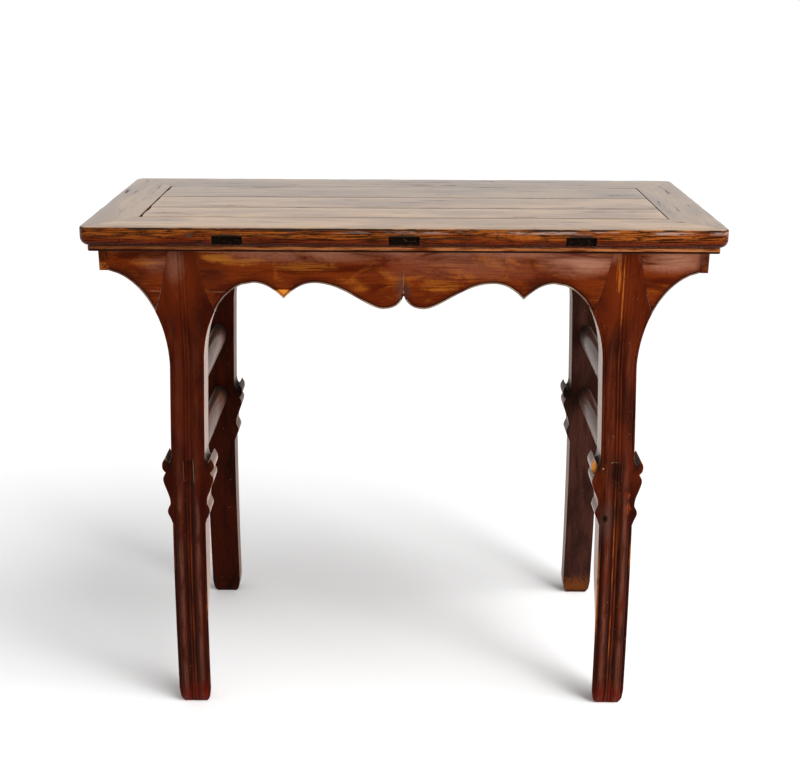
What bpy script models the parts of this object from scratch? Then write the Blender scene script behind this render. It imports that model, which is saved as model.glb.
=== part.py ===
"""Recessed-leg wine table in lacquered elm: a mitred frame top with a floating panel,
scalloped aprons bridled through flared legs, and paired oval stretchers at each end.
X runs along the top, the front is at -Y, and Z is up from the floor."""

import math

import bmesh
import bpy
from mathutils import Vector

# Whole table, in metres
TOP_LENGTH = 0.982
TOP_DEPTH = 0.453
HEIGHT = 0.830
CLEARANCE = 0.0003  # left between pieces that touch
OVERCUT = 0.010  # how far cutters run past the surface they open

# Mitred frame of the top
RAIL_THICKNESS = 0.0385
LONG_RAIL_WIDTH = 0.084
SHORT_RAIL_WIDTH = 0.076
CORNER_RADIUS = 0.016  # in plan
ARRIS_INSET = 0.0045  # rounding of the top arris
ARRIS_DROP = 0.0085
BELLY_DROP = 0.013  # where the edge starts to turn under
BAND_HEIGHT = 0.0308  # moulded band above the lip
COVE_INSET = 0.0125  # foot of the band, behind the edge
LIP_INSET = 0.0103  # face of the lip, behind the edge
LIP_ROUND = 0.0012
QUIRK = 0.0008  # fine groove between band and lip

# Through tenons of the top, one height for frame and battens
TENON_DROP = 0.0125
TENON_HEIGHT = 0.013
TENON_END_INSET = 0.003  # tenon ends sit a little behind the edge
CORNER_TENON_SETBACK = 0.022
CORNER_TENON_WIDTH = 0.040

# Floating panel of three boards
PANEL_THICKNESS = 0.012
PANEL_END_GAP = 0.002  # shrinkage gap at the short rails
PANEL_SIDE_GAP = 0.0005
FRONT_BOARD_WIDTH = 0.082
MIDDLE_BOARD_WIDTH = 0.095
TONGUE_DROP = 0.005
TONGUE_THICKNESS = 0.005
TONGUE_LENGTH = 0.007
GROOVE_DEPTH = 0.008
BOARD_TONGUE = 0.005

# Battens under the panel
BATTEN_SPACING = 0.267
BATTEN_WIDTH = 0.052
BATTEN_TENON_WIDTH = 0.046
BATTEN_RISE = 0.0035  # underside of the batten above the frame's underside
DOVETAIL_NECK = 0.030
DOVETAIL_WIDTH = 0.036
DOVETAIL_HEIGHT = 0.004

# Aprons
APRON_SETBACK = 0.0235  # apron and leg faces behind the edge of the top
APRON_THICKNESS = 0.020
END_APRON_THICKNESS = 0.013
END_APRON_HEIGHT = 0.0315
STUB_TENON_LENGTH = 0.006
STUB_TENON_INSET = 0.006
SPANDREL_RUN = 0.0817  # from the leg's inner edge to the outer scallop's peak
PEAK_DROP = 0.0515
CUSP_RUN = 0.0465  # half width of each scallop beside the cusp
CUSP_DROP = 0.0765
LOBE_DROP = 0.0925
LOBE_SPREAD = 0.0325  # from the middle to the bottom of each centre lobe
NOTCH_DROP = 0.063
OGEE_SKEW = 0.8  # the ogee rises a little faster beside the lobe

# Legs
LEG_INSET = 0.1265  # leg's centre line from the end of the apron
LEG_WIDTH = 0.054
LEG_THICKNESS = 0.044
FLARE_DROP = 0.1865  # where the leg starts to flare into the apron
LEG_BOW = 0.0135  # the foot's offset outwards, along the table
LEG_SPLAY = 0.013  # the foot's offset outwards, across the table
FOOT_CHAMFER = 0.004
BEAD_WIDTH = 0.0046  # each of the two beads down the middle
BEAD_HEIGHT = 0.0018
BEAD_FLANK = 0.28  # shares of the width and height where a bead's round begins
BEAD_FLANK_RISE = 0.85
BEAD_VALLEY = 0.2  # share of the height left between the beads

# Inserted shoulder at the top of each leg
SHOULDER_DROP = 0.0975
SHOULDER_THICKNESS = 0.009
SHOULDER_TOP_WIDTH = 0.052
SHOULDER_WAIST_WIDTH = 0.067
SHOULDER_WAIST_RISE = 0.031
CHEEK_WIDTH = 0.054
LEG_TENON_INSET = 0.005
LEG_TENON_HEIGHT = 0.021

# Leaf flange on both edges of a leg: reach beyond the edge, height above the base
FLANGE_BASE = 0.335
FLANGE_BUD = [(0.0, 0.0), (0.0028, 0.008), (0.0076, 0.021), (0.0030, 0.034)]
FLANGE_LEAF = [(0.0030, 0.034), (0.0045, 0.047), (0.0138, 0.0755), (0.0095, 0.0885)]
FLANGE_HOOK = [(0.0095, 0.0885), (0.0145, 0.0955), (0.0148, 0.1055), (0.0098, 0.1150)]
FLANGE_CLEFT = [(0.0098, 0.1150), (0.0050, 0.1055), (0.0015, 0.1100), (0.0, 0.1180)]

# Oval stretchers between the legs of each end
UPPER_STRETCHER_Z = 0.550
LOWER_STRETCHER_Z = 0.427
STRETCHER_WIDTH = 0.026
STRETCHER_HEIGHT = 0.042
STRETCHER_TENON_WIDTH = 0.014
STRETCHER_TENON_HEIGHT = 0.035
BLIND_TENON_LENGTH = 0.026
TENON_PROUD = 0.0005  # through tenons stand this far out of the leg's face

# Facets
ARC_STEPS = 6
CORNER_STEPS = 4
OGEE_STEPS = 9
OVAL_SIDES = 20
KNOT_STEPS = 3
LEG_EDGE_STEPS = 4
SMOOTH_ANGLE = 32  # degrees, edges below this are rounds

# Finishes: colour and roughness
EDGE_ELM = ((0.21, 0.085, 0.032), 0.38)
PANEL_ELM = ((0.27, 0.18, 0.12), 0.42)
LACQUER = ((0.105, 0.026, 0.013), 0.32)
BARE_ELM = ((0.26, 0.17, 0.10), 0.60)

# Levels and places worked out from the sizes above
RAIL_BOTTOM = HEIGHT - RAIL_THICKNESS
LEG_TOP = RAIL_BOTTOM - CLEARANCE
FLARE_Z = RAIL_BOTTOM - FLARE_DROP
SHOULDER_Z = RAIL_BOTTOM - SHOULDER_DROP
TENON_TOP = HEIGHT - TENON_DROP
TENON_BOTTOM = TENON_TOP - TENON_HEIGHT
PANEL_BOTTOM = HEIGHT - PANEL_THICKNESS
TONGUE_TOP = HEIGHT - TONGUE_DROP
TONGUE_BOTTOM = TONGUE_TOP - TONGUE_THICKNESS
OPENING_X = TOP_LENGTH / 2 - SHORT_RAIL_WIDTH
OPENING_Y = TOP_DEPTH / 2 - LONG_RAIL_WIDTH
APRON_FACE_Y = TOP_DEPTH / 2 - APRON_SETBACK
APRON_END_X = TOP_LENGTH / 2 - APRON_SETBACK
LONG_APRON_X = APRON_END_X - END_APRON_THICKNESS - CLEARANCE
LEG_X = APRON_END_X - LEG_INSET
LEG_HALF = LEG_WIDTH / 2
SLOT_BACK = APRON_THICKNESS + CLEARANCE
OUTER_RISE = RAIL_BOTTOM - END_APRON_HEIGHT - FLARE_Z
INNER_RISE = RAIL_BOTTOM - PEAK_DROP - FLARE_Z


def clear_scene():
    for obj in list(bpy.data.objects):
        bpy.data.objects.remove(obj)


def finish(obj, look):
    """Gives the object a material of its own."""
    colour, roughness = look
    material = bpy.data.materials.new(obj.name + "_finish")
    material.use_nodes = True
    shader = material.node_tree.nodes["Principled BSDF"]
    shader.inputs["Base Color"].default_value = (*colour, 1.0)
    shader.inputs["Roughness"].default_value = roughness
    shader.inputs["Metallic"].default_value = 0.0
    obj.data.materials.append(material)


def make_object(name, bm, look=None):
    """Turns a bmesh into a piece, or into a hidden tool where no look is given."""
    turn_faces_out(bm)
    mesh = bpy.data.meshes.new(name)
    bm.to_mesh(mesh)
    bm.free()
    obj = bpy.data.objects.new(name, mesh)
    bpy.context.scene.collection.objects.link(obj)
    if look is None:
        obj.hide_render = True
        obj.display_type = 'WIRE'
    else:
        finish(obj, look)
    return obj


def combine(obj, tool_bm, operation):
    """Joins a tool mesh to a piece, or cuts it out, with a Boolean modifier."""
    label = obj.name + "_" + operation.lower() + str(len(obj.modifiers))
    modifier = obj.modifiers.new(label, 'BOOLEAN')
    modifier.operation = operation
    modifier.solver = 'EXACT'
    modifier.object = make_object(label, tool_bm)


def soften(obj):
    obj.data.shade_smooth()
    obj.data.set_sharp_from_angle(angle=math.radians(SMOOTH_ANGLE))


def add_box(bm, low, high):
    for vert in bmesh.ops.create_cube(bm, size=1.0)["verts"]:
        vert.co = Vector(h if c > 0 else l for c, l, h in zip(vert.co, low, high))


def add_prism(bm, outline, start, end):
    """Extrudes an outline of (x, z) points along Y."""
    face = bm.faces.new([bm.verts.new((x, start, z)) for x, z in outline])
    extruded = bmesh.ops.extrude_face_region(bm, geom=[face])["geom"]
    for element in extruded:
        if isinstance(element, bmesh.types.BMVert):
            element.co.y = end


def turn_faces_out(bm):
    bm.normal_update()
    bmesh.ops.recalc_face_normals(bm, faces=bm.faces)
    bm.normal_update()


def inset_face(bm, face, width):
    turn_faces_out(bm)
    bmesh.ops.inset_individual(bm, faces=[face], thickness=width, use_even_offset=True)


def mirror(bm, side_x, side_y):
    for vert in bm.verts:
        vert.co.x *= side_x
        vert.co.y *= side_y


def smooth_curve(knots, steps=KNOT_STEPS):
    """Points of a smooth curve through the knots, ends included."""
    padded = [knots[0]] + list(knots) + [knots[-1]]
    points = []
    for before, start, end, after in zip(padded, padded[1:], padded[2:], padded[3:]):
        for step in range(steps):
            t = step / steps
            point = []
            for a, b, c, d in zip(before, start, end, after):
                bend = (2 * a - 5 * b + 4 * c - d) * t * t + (3 * b - a - 3 * c + d) * t ** 3
                point.append(b + ((c - a) * t + bend) / 2)
            points.append(tuple(point))
    points.append(tuple(knots[-1]))
    return points


def even_steps(first, last, steps=ARC_STEPS):
    return [first + (last - first) * step / steps for step in range(steps + 1)]


# Top frame

def edge_profile():
    """Inset and drop of the frame's moulded edge, from the top face to the underside."""
    points = []
    for angle in even_steps(0, math.pi / 2, CORNER_STEPS):
        points.append((ARRIS_INSET * (1 - math.sin(angle)), ARRIS_DROP * (1 - math.cos(angle))))
    turn = BAND_HEIGHT - BELLY_DROP
    for angle in even_steps(0, math.pi / 2, ARC_STEPS):
        points.append((COVE_INSET * (1 - math.cos(angle)), BELLY_DROP + turn * math.sin(angle)))
    lip_top = BAND_HEIGHT + QUIRK
    points.append((COVE_INSET, lip_top))
    points.append((LIP_INSET + LIP_ROUND, lip_top))
    points.append((LIP_INSET, lip_top + LIP_ROUND))
    points.append((LIP_INSET, RAIL_THICKNESS - LIP_ROUND))
    points.append((LIP_INSET + LIP_ROUND, RAIL_THICKNESS))
    return points


def rail_mesh(half_length, half_depth, own_width, end_width):
    """A rail along X whose moulded edge faces +Y, mitred into the rails at its ends."""
    bm = bmesh.new()
    trim = CLEARANCE / math.sqrt(2)  # each side of a mitre gives up half of the gap
    mitre = math.atan2(own_width - CORNER_RADIUS, end_width - CORNER_RADIUS)
    turns = even_steps(mitre, math.pi / 2, CORNER_STEPS)
    stations = [(-1, a) for a in turns] + [(1, a) for a in reversed(turns)]
    grid = []
    for inset, drop in edge_profile():
        radius = CORNER_RADIUS - inset
        row = []
        for side, angle in stations:
            x = half_length - CORNER_RADIUS + radius * math.cos(angle)
            y = half_depth - CORNER_RADIUS + radius * math.sin(angle)
            if angle == mitre:
                x -= trim
            row.append(bm.verts.new((side * x, y, HEIGHT - drop)))
        grid.append(row)
    corner_x = half_length - end_width - trim
    inner_y = half_depth - own_width
    inner_top = [bm.verts.new((s * corner_x, inner_y, HEIGHT)) for s in (1, -1)]
    inner_bottom = [bm.verts.new((s * corner_x, inner_y, RAIL_BOTTOM)) for s in (1, -1)]
    for upper, lower in zip(grid, grid[1:]):
        for j in range(len(stations) - 1):
            bm.faces.new((upper[j], upper[j + 1], lower[j + 1], lower[j]))
    bm.faces.new(grid[0] + inner_top)
    bm.faces.new(grid[-1] + inner_bottom)
    bm.faces.new([row[-1] for row in grid] + [inner_bottom[0], inner_top[0]])
    bm.faces.new([row[0] for row in grid] + [inner_bottom[1], inner_top[1]])
    bm.faces.new(inner_top + inner_bottom[::-1])
    return bm


def panel_groove(bm):
    reach_x = OPENING_X + GROOVE_DEPTH
    reach_y = OPENING_Y + GROOVE_DEPTH
    low = (-reach_x, -reach_y, TONGUE_BOTTOM - CLEARANCE)
    add_box(bm, low, (reach_x, reach_y, TONGUE_TOP + CLEARANCE))


def corner_tenon(bm, side_x, side_y, root_x, end_x, gap):
    outer_y = TOP_DEPTH / 2 - CORNER_TENON_SETBACK + gap
    inner_y = outer_y - CORNER_TENON_WIDTH - 2 * gap
    xs = sorted((side_x * root_x, side_x * end_x))
    ys = sorted((side_y * inner_y, side_y * outer_y))
    add_box(bm, (xs[0], ys[0], TENON_BOTTOM - gap), (xs[1], ys[1], TENON_TOP + gap))


def batten_places():
    return [("left_batten", -BATTEN_SPACING), ("middle_batten", 0.0), ("right_batten", BATTEN_SPACING)]


def build_long_rail(name, side_y):
    bm = rail_mesh(TOP_LENGTH / 2, TOP_DEPTH / 2, LONG_RAIL_WIDTH, SHORT_RAIL_WIDTH)
    mirror(bm, 1, side_y)
    rail = make_object(name, bm, EDGE_ELM)
    tenons = bmesh.new()
    for side_x in (-1, 1):
        corner_tenon(tenons, side_x, side_y, OPENING_X, TOP_LENGTH / 2 - TENON_END_INSET, 0.0)
    combine(rail, tenons, 'UNION')
    cuts = bmesh.new()
    panel_groove(cuts)
    batten_half = BATTEN_TENON_WIDTH / 2 + CLEARANCE
    ys = sorted((side_y * (OPENING_Y - OVERCUT), side_y * (TOP_DEPTH / 2 + OVERCUT)))
    for _, x in batten_places():
        low = (x - batten_half, ys[0], TENON_BOTTOM - CLEARANCE)
        add_box(cuts, low, (x + batten_half, ys[1], TENON_TOP + CLEARANCE))
    half_x = CHEEK_WIDTH / 2 - LEG_TENON_INSET + CLEARANCE
    outer_y = APRON_FACE_Y - SLOT_BACK - LEG_TENON_INSET + CLEARANCE
    inner_y = APRON_FACE_Y - LEG_THICKNESS + LEG_TENON_INSET - CLEARANCE
    ys = sorted((side_y * inner_y, side_y * outer_y))
    for side_x in (-1, 1):
        x = side_x * LEG_X
        low = (x - half_x, ys[0], RAIL_BOTTOM - OVERCUT)
        add_box(cuts, low, (x + half_x, ys[1], LEG_TOP + LEG_TENON_HEIGHT + CLEARANCE))
    combine(rail, cuts, 'DIFFERENCE')
    soften(rail)


def build_short_rail(name, side_x):
    bm = rail_mesh(TOP_DEPTH / 2, TOP_LENGTH / 2, SHORT_RAIL_WIDTH, LONG_RAIL_WIDTH)
    for vert in bm.verts:
        vert.co.xy = (side_x * vert.co.y, vert.co.x)
    rail = make_object(name, bm, EDGE_ELM)
    cuts = bmesh.new()
    panel_groove(cuts)
    for side_y in (-1, 1):
        corner_tenon(cuts, side_x, side_y, OPENING_X - OVERCUT, TOP_LENGTH / 2 + OVERCUT, CLEARANCE)
    combine(rail, cuts, 'DIFFERENCE')
    soften(rail)


# Panel and battens

def dovetail_sizes(gap):
    """Top level and half widths of a batten's key, or of the groove for it."""
    top = PANEL_BOTTOM - CLEARANCE + DOVETAIL_HEIGHT + gap
    return top, DOVETAIL_NECK / 2 + gap, DOVETAIL_WIDTH / 2 + gap


def dovetail_grooves():
    bm = bmesh.new()
    top, neck, head = dovetail_sizes(CLEARANCE)
    slope = (head - neck) / DOVETAIL_HEIGHT
    mouth = neck - slope * OVERCUT
    low = PANEL_BOTTOM - OVERCUT
    for _, x in batten_places():
        outline = [(x - mouth, low), (x + mouth, low), (x + head, top), (x - head, top)]
        add_prism(bm, outline, -OPENING_Y - OVERCUT, OPENING_Y + OVERCUT)
    return bm


def build_board(name, front, rear, front_joint, rear_joint):
    """A board from front to rear; a joint is a tongue's reach, or a groove where negative."""
    half_x = OPENING_X - PANEL_END_GAP
    bm = bmesh.new()
    add_box(bm, (-half_x, front, PANEL_BOTTOM), (half_x, rear, HEIGHT))
    board = make_object(name, bm, PANEL_ELM)
    low_y = front - front_joint if front_joint > 0 else (front + rear) / 2
    high_y = rear + rear_joint
    reach_x = OPENING_X + TONGUE_LENGTH
    tongue = bmesh.new()
    add_box(tongue, (-reach_x, low_y, TONGUE_BOTTOM), (reach_x, high_y, TONGUE_TOP))
    combine(board, tongue, 'UNION')
    if front_joint < 0:
        groove = bmesh.new()
        low = (-half_x - OVERCUT, front - OVERCUT, TONGUE_BOTTOM - CLEARANCE)
        high = (half_x + OVERCUT, front - front_joint + CLEARANCE, TONGUE_TOP + CLEARANCE)
        add_box(groove, low, high)
        combine(board, groove, 'DIFFERENCE')
    combine(board, dovetail_grooves(), 'DIFFERENCE')


def build_panel():
    edge = OPENING_Y - PANEL_SIDE_GAP
    front_seam = -OPENING_Y + FRONT_BOARD_WIDTH
    rear_seam = front_seam + MIDDLE_BOARD_WIDTH
    rim = TONGUE_LENGTH + PANEL_SIDE_GAP
    join = BOARD_TONGUE
    build_board("front_panel_board", -edge, front_seam - CLEARANCE, rim, join)
    build_board("middle_panel_board", front_seam, rear_seam - CLEARANCE, -join, join)
    build_board("rear_panel_board", rear_seam, edge, -join, rim)


def build_batten(name, x):
    top, neck, head = dovetail_sizes(0.0)
    half = BATTEN_WIDTH / 2
    low = RAIL_BOTTOM + BATTEN_RISE
    seat = PANEL_BOTTOM - CLEARANCE
    outline = [(x - half, low), (x + half, low), (x + half, seat), (x + neck, seat)]
    outline += [(x + head, top), (x - head, top), (x - neck, seat), (x - half, seat)]
    end_y = OPENING_Y - CLEARANCE
    bm = bmesh.new()
    add_prism(bm, outline, -end_y, end_y)
    batten = make_object(name, bm, BARE_ELM)
    tenons = bmesh.new()
    tenon_half = BATTEN_TENON_WIDTH / 2
    tip_y = TOP_DEPTH / 2 - TENON_END_INSET
    for ys in ((-tip_y, -end_y + OVERCUT), (end_y - OVERCUT, tip_y)):
        add_box(tenons, (x - tenon_half, ys[0], TENON_BOTTOM), (x + tenon_half, ys[1], TENON_TOP))
    combine(batten, tenons, 'UNION')


# Curves shared by aprons and legs, from the leg's centre line, outwards positive

def spandrel(run, rise, steps, height):
    """Quarter ellipse that leaves the leg's edge and rises, cut off at a height."""
    last = math.asin(min(1.0, height / rise))
    curve = []
    for angle in even_steps(0, last, steps):
        curve.append((LEG_HALF + run * (1 - math.cos(angle)), FLARE_Z + rise * math.sin(angle)))
    return curve


def shoulder_tips():
    """Half widths of the flared leg, outer and inner, where the slot's floor lies."""
    climb = SHOULDER_Z - FLARE_Z
    outer = spandrel(LEG_INSET - LEG_HALF, OUTER_RISE, 1, climb)[-1][0]
    inner = spandrel(SPANDREL_RUN, INNER_RISE, 1, climb)[-1][0]
    return outer, inner


def shoulder_levels():
    """Half width and level of the inserted shoulder above its tips."""
    waist = SHOULDER_WAIST_WIDTH / 2
    return [(waist, SHOULDER_Z + SHOULDER_WAIST_RISE), (SHOULDER_TOP_WIDTH / 2, LEG_TOP)]


# Aprons

def scallop_half():
    """Lower edge of the long apron from the middle to the leg's inner shoulder tip."""
    inner_edge = LEG_X - LEG_HALF
    outer_peak = inner_edge - SPANDREL_RUN
    cusp = outer_peak - CUSP_RUN
    inner_peak = cusp - CUSP_RUN
    peak_z = RAIL_BOTTOM - PEAK_DROP
    cusp_z = RAIL_BOTTOM - CUSP_DROP
    lobe_z = RAIL_BOTTOM - LOBE_DROP
    notch_z = RAIL_BOTTOM - NOTCH_DROP
    points = []
    for angle in even_steps(0, math.pi / 2):
        x = LOBE_SPREAD * (1 - math.cos(angle))
        points.append((x, notch_z - (notch_z - lobe_z) * math.sin(angle)))
    for step in range(1, OGEE_STEPS):
        t = step / OGEE_STEPS
        rise = (1 - math.cos(math.pi * t ** OGEE_SKEW)) / 2
        points.append((LOBE_SPREAD + (inner_peak - LOBE_SPREAD) * t, lobe_z + (peak_z - lobe_z) * rise))
    for t in even_steps(0.0, 1.0):
        points.append((inner_peak + CUSP_RUN * t, peak_z - (peak_z - cusp_z) * t * t))
    for t in even_steps(1.0, 0.0)[1:]:
        points.append((outer_peak - CUSP_RUN * t, peak_z - (peak_z - cusp_z) * t * t))
    climb = SHOULDER_Z + CLEARANCE - FLARE_Z
    first = math.asin(climb / INNER_RISE)
    for angle in even_steps(math.pi / 2, first)[1:]:
        x = outer_peak + SPANDREL_RUN * math.cos(angle)
        points.append((x, FLARE_Z + INNER_RISE * math.sin(angle)))
    return points


def outer_spandrel():
    """Lower edge of the long apron from the leg's outer shoulder tip to the end apron."""
    run = LEG_INSET - LEG_HALF
    climb = SHOULDER_Z + CLEARANCE - FLARE_Z
    first = math.asin(climb / OUTER_RISE)
    last = math.acos((APRON_END_X - LONG_APRON_X) / run)
    points = []
    for angle in even_steps(first, last):
        points.append((APRON_END_X - run * math.cos(angle), FLARE_Z + OUTER_RISE * math.sin(angle)))
    return points


def shoulder_recess(side_x):
    """Front recess of the long apron that takes a leg's shoulder."""
    outer, inner = shoulder_tips()
    levels = shoulder_levels()
    right = [(outer + CLEARANCE, SHOULDER_Z - OVERCUT), (outer + CLEARANCE, SHOULDER_Z)]
    right += [(half + CLEARANCE, z) for half, z in levels]
    top = levels[-1][0] + CLEARANCE
    right.append((top, RAIL_BOTTOM + OVERCUT))
    left = [(-x, z) for x, z in right]
    left[0] = (-inner - CLEARANCE, left[0][1])
    left[1] = (-inner - CLEARANCE, left[1][1])
    outline = right + left[::-1]
    return [(side_x * (LEG_X + x), z) for x, z in outline]


def build_long_apron(name, side_y):
    half = scallop_half() + outer_spandrel() + [(LONG_APRON_X, LEG_TOP)]
    outline = half + [(-x, z) for x, z in reversed(half[1:])]
    bm = bmesh.new()
    add_prism(bm, outline, -APRON_FACE_Y, -APRON_FACE_Y + APRON_THICKNESS)
    for face in [f for f in bm.faces if abs(abs(f.calc_center_median().x) - LONG_APRON_X) < CLEARANCE]:
        push = Vector((math.copysign(STUB_TENON_LENGTH, face.calc_center_median().x), 0, 0))
        inset_face(bm, face, STUB_TENON_INSET)
        stub = bmesh.ops.extrude_discrete_faces(bm, faces=[face])["faces"][0]
        bmesh.ops.translate(bm, verts=stub.verts, vec=push)
    mirror(bm, 1, -side_y)
    apron = make_object(name, bm, LACQUER)
    recess = bmesh.new()
    for side_x in (-1, 1):
        depth = -APRON_FACE_Y + SHOULDER_THICKNESS + CLEARANCE
        add_prism(recess, shoulder_recess(side_x), -APRON_FACE_Y - OVERCUT, depth)
    mirror(recess, 1, -side_y)
    combine(apron, recess, 'DIFFERENCE')


def build_end_apron(name, side_x):
    xs = sorted((side_x * APRON_END_X, side_x * (APRON_END_X - END_APRON_THICKNESS)))
    bottom = RAIL_BOTTOM - END_APRON_HEIGHT
    bm = bmesh.new()
    add_box(bm, (xs[0], -APRON_FACE_Y, bottom), (xs[1], APRON_FACE_Y, LEG_TOP))
    apron = make_object(name, bm, LACQUER)
    mortises = bmesh.new()
    inset = STUB_TENON_INSET - CLEARANCE
    reach = LONG_APRON_X + STUB_TENON_LENGTH + CLEARANCE
    low_z = outer_spandrel()[-1][1] + inset
    for side_y in (-1, 1):
        ys = sorted((side_y * (APRON_FACE_Y - inset), side_y * (APRON_FACE_Y - APRON_THICKNESS + inset)))
        xs = sorted((side_x * (LONG_APRON_X - OVERCUT), side_x * reach))
        add_box(mortises, (xs[0], ys[0], low_z), (xs[1], ys[1], LEG_TOP - inset))
    combine(apron, mortises, 'DIFFERENCE')


# Legs and stretchers

def lean(z):
    """How far down the leg a level lies, 0 at the flare and 1 at the floor."""
    return max(0.0, (FLARE_Z - z) / FLARE_Z)


def leg_centre_x(z):
    return LEG_X + LEG_BOW * lean(z) * (2 - lean(z))


def leg_face_y(z):
    return APRON_FACE_Y + LEG_SPLAY * lean(z)


def straight_edge(low, high):
    return [(LEG_HALF, z) for z in even_steps(low, high, LEG_EDGE_STEPS)[1:-1]]


def leg_side(run, rise):
    """One edge of the leg from foot to shoulder tip: half width and height."""
    points = [(LEG_HALF - FOOT_CHAMFER, 0.0), (LEG_HALF, FOOT_CHAMFER)]
    points += straight_edge(FOOT_CHAMFER, FLANGE_BASE)
    flange = []
    for knots in (FLANGE_BUD, FLANGE_LEAF, FLANGE_HOOK, FLANGE_CLEFT):
        flange += smooth_curve(knots)[:-1]
    flange.append(FLANGE_CLEFT[-1])
    points += [(LEG_HALF + reach, FLANGE_BASE + height) for reach, height in flange]
    points += straight_edge(points[-1][1], FLARE_Z)
    points += spandrel(run, rise, ARC_STEPS, SHOULDER_Z - FLARE_Z)
    return points


def split_face(bm, face, origin, normal):
    geom = [face] + list(face.edges) + list(face.verts)
    result = bmesh.ops.bisect_plane(bm, geom=geom, plane_co=origin, plane_no=normal)
    return [e for e in result["geom"] if isinstance(e, bmesh.types.BMFace)]


def face_at(bm, x, y, z):
    return min(bm.faces, key=lambda f: (f.calc_center_median() - Vector((x, y, z))).length)


def raise_face(bm, face, z):
    raised = bmesh.ops.extrude_discrete_faces(bm, faces=[face])["faces"][0]
    for vert in raised.verts:
        vert.co.z = z
    return raised


def raise_shoulder(bm, top):
    """Raises the front shoulder and the rear cheek with its tenon from the slot's floor."""
    outer, inner = shoulder_tips()
    middle = (outer - inner) / 2
    front, rest = split_face(bm, top, (0, SHOULDER_THICKNESS, 0), (0, 1, 0))
    if front.calc_center_median().y > rest.calc_center_median().y:
        front, rest = rest, front
    cheek_y = (SLOT_BACK + LEG_THICKNESS) / 2
    split_face(bm, rest, (0, SLOT_BACK, 0), (0, 1, 0))
    for side in (-1, 1):
        cheek = face_at(bm, middle, cheek_y, SHOULDER_Z)
        split_face(bm, cheek, (side * CHEEK_WIDTH / 2, 0, 0), (1, 0, 0))
    shoulder_y = SHOULDER_THICKNESS / 2
    level = SHOULDER_Z
    for half, z in shoulder_levels():
        shoulder = face_at(bm, middle if level == SHOULDER_Z else 0.0, shoulder_y, level)
        for vert in raise_face(bm, shoulder, z).verts:
            vert.co.x = math.copysign(half, vert.co.x)
        level = z
    raise_face(bm, face_at(bm, 0.0, cheek_y, SHOULDER_Z), LEG_TOP)
    cheek = face_at(bm, 0.0, cheek_y, LEG_TOP)
    inset_face(bm, cheek, LEG_TENON_INSET)
    raise_face(bm, cheek, LEG_TOP + LEG_TENON_HEIGHT)


def place_leg(bm, side_x, side_y):
    """Moves a mesh in leg coordinates, with y inwards from the face, to its place."""
    for vert in bm.verts:
        x, y, z = vert.co
        vert.co = (side_x * (leg_centre_x(z) + x), side_y * (leg_face_y(z) - y), z)


def split_levels(bm, levels):
    for z in levels:
        geom = list(bm.verts) + list(bm.edges) + list(bm.faces)
        bmesh.ops.bisect_plane(bm, geom=geom, plane_co=(0, 0, z), plane_no=(0, 0, 1))


def bead_pair():
    """Two rounded beads side by side down the middle of the leg's face."""
    bm = bmesh.new()
    section = [(-BEAD_WIDTH, BEAD_HEIGHT), (-BEAD_WIDTH, 0.0)]
    for side in (-1, 1):
        for share, rise in ((-BEAD_FLANK, BEAD_FLANK_RISE), (0.0, 1.0), (BEAD_FLANK, BEAD_FLANK_RISE)):
            section.append(((side / 2 + share) * BEAD_WIDTH, -rise * BEAD_HEIGHT))
        if side < 0:
            section.append((0.0, -BEAD_VALLEY * BEAD_HEIGHT))
    section += [(BEAD_WIDTH, 0.0), (BEAD_WIDTH, BEAD_HEIGHT)]
    foot = [bm.verts.new((x, y, FOOT_CHAMFER)) for x, y in section]
    raise_face(bm, bm.faces.new(foot), LEG_TOP - FOOT_CHAMFER)
    bm.faces.new(foot)
    split_levels(bm, even_steps(FOOT_CHAMFER, FLARE_Z, 2 * LEG_EDGE_STEPS)[1:])
    return bm


def stretcher_tenon_box(bm, z, outer_y, inner_y, side_x, side_y, gap):
    x = side_x * leg_centre_x(z)
    half_x = STRETCHER_TENON_WIDTH / 2 + gap
    half_z = STRETCHER_TENON_HEIGHT / 2 + gap
    ys = sorted((side_y * inner_y, side_y * outer_y))
    add_box(bm, (x - half_x, ys[0], z - half_z), (x + half_x, ys[1], z + half_z))


def stretcher_tenon_reach(z, through):
    face = leg_face_y(z)
    return face + TENON_PROUD if through else face - LEG_THICKNESS + BLIND_TENON_LENGTH


def build_leg(name, side_x, side_y):
    outer = leg_side(LEG_INSET - LEG_HALF, OUTER_RISE)
    inner = leg_side(SPANDREL_RUN, INNER_RISE)
    outline = outer + [(-x, z) for x, z in reversed(inner)]
    bm = bmesh.new()
    add_prism(bm, outline, 0.0, LEG_THICKNESS)
    split_levels(bm, [FLARE_Z])
    tips = shoulder_tips()
    raise_shoulder(bm, face_at(bm, (tips[0] - tips[1]) / 2, LEG_THICKNESS / 2, SHOULDER_Z))
    place_leg(bm, side_x, side_y)
    leg = make_object(name, bm, LACQUER)
    beads = bead_pair()
    place_leg(beads, side_x, side_y)
    combine(leg, beads, 'UNION')
    mortises = bmesh.new()
    for z, through in ((UPPER_STRETCHER_Z, False), (LOWER_STRETCHER_Z, True)):
        inner_y = leg_face_y(z) - LEG_THICKNESS - OVERCUT
        outer_y = stretcher_tenon_reach(z, through) + (OVERCUT if through else CLEARANCE)
        stretcher_tenon_box(mortises, z, outer_y, inner_y, side_x, side_y, CLEARANCE)
    combine(leg, mortises, 'DIFFERENCE')


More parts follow.
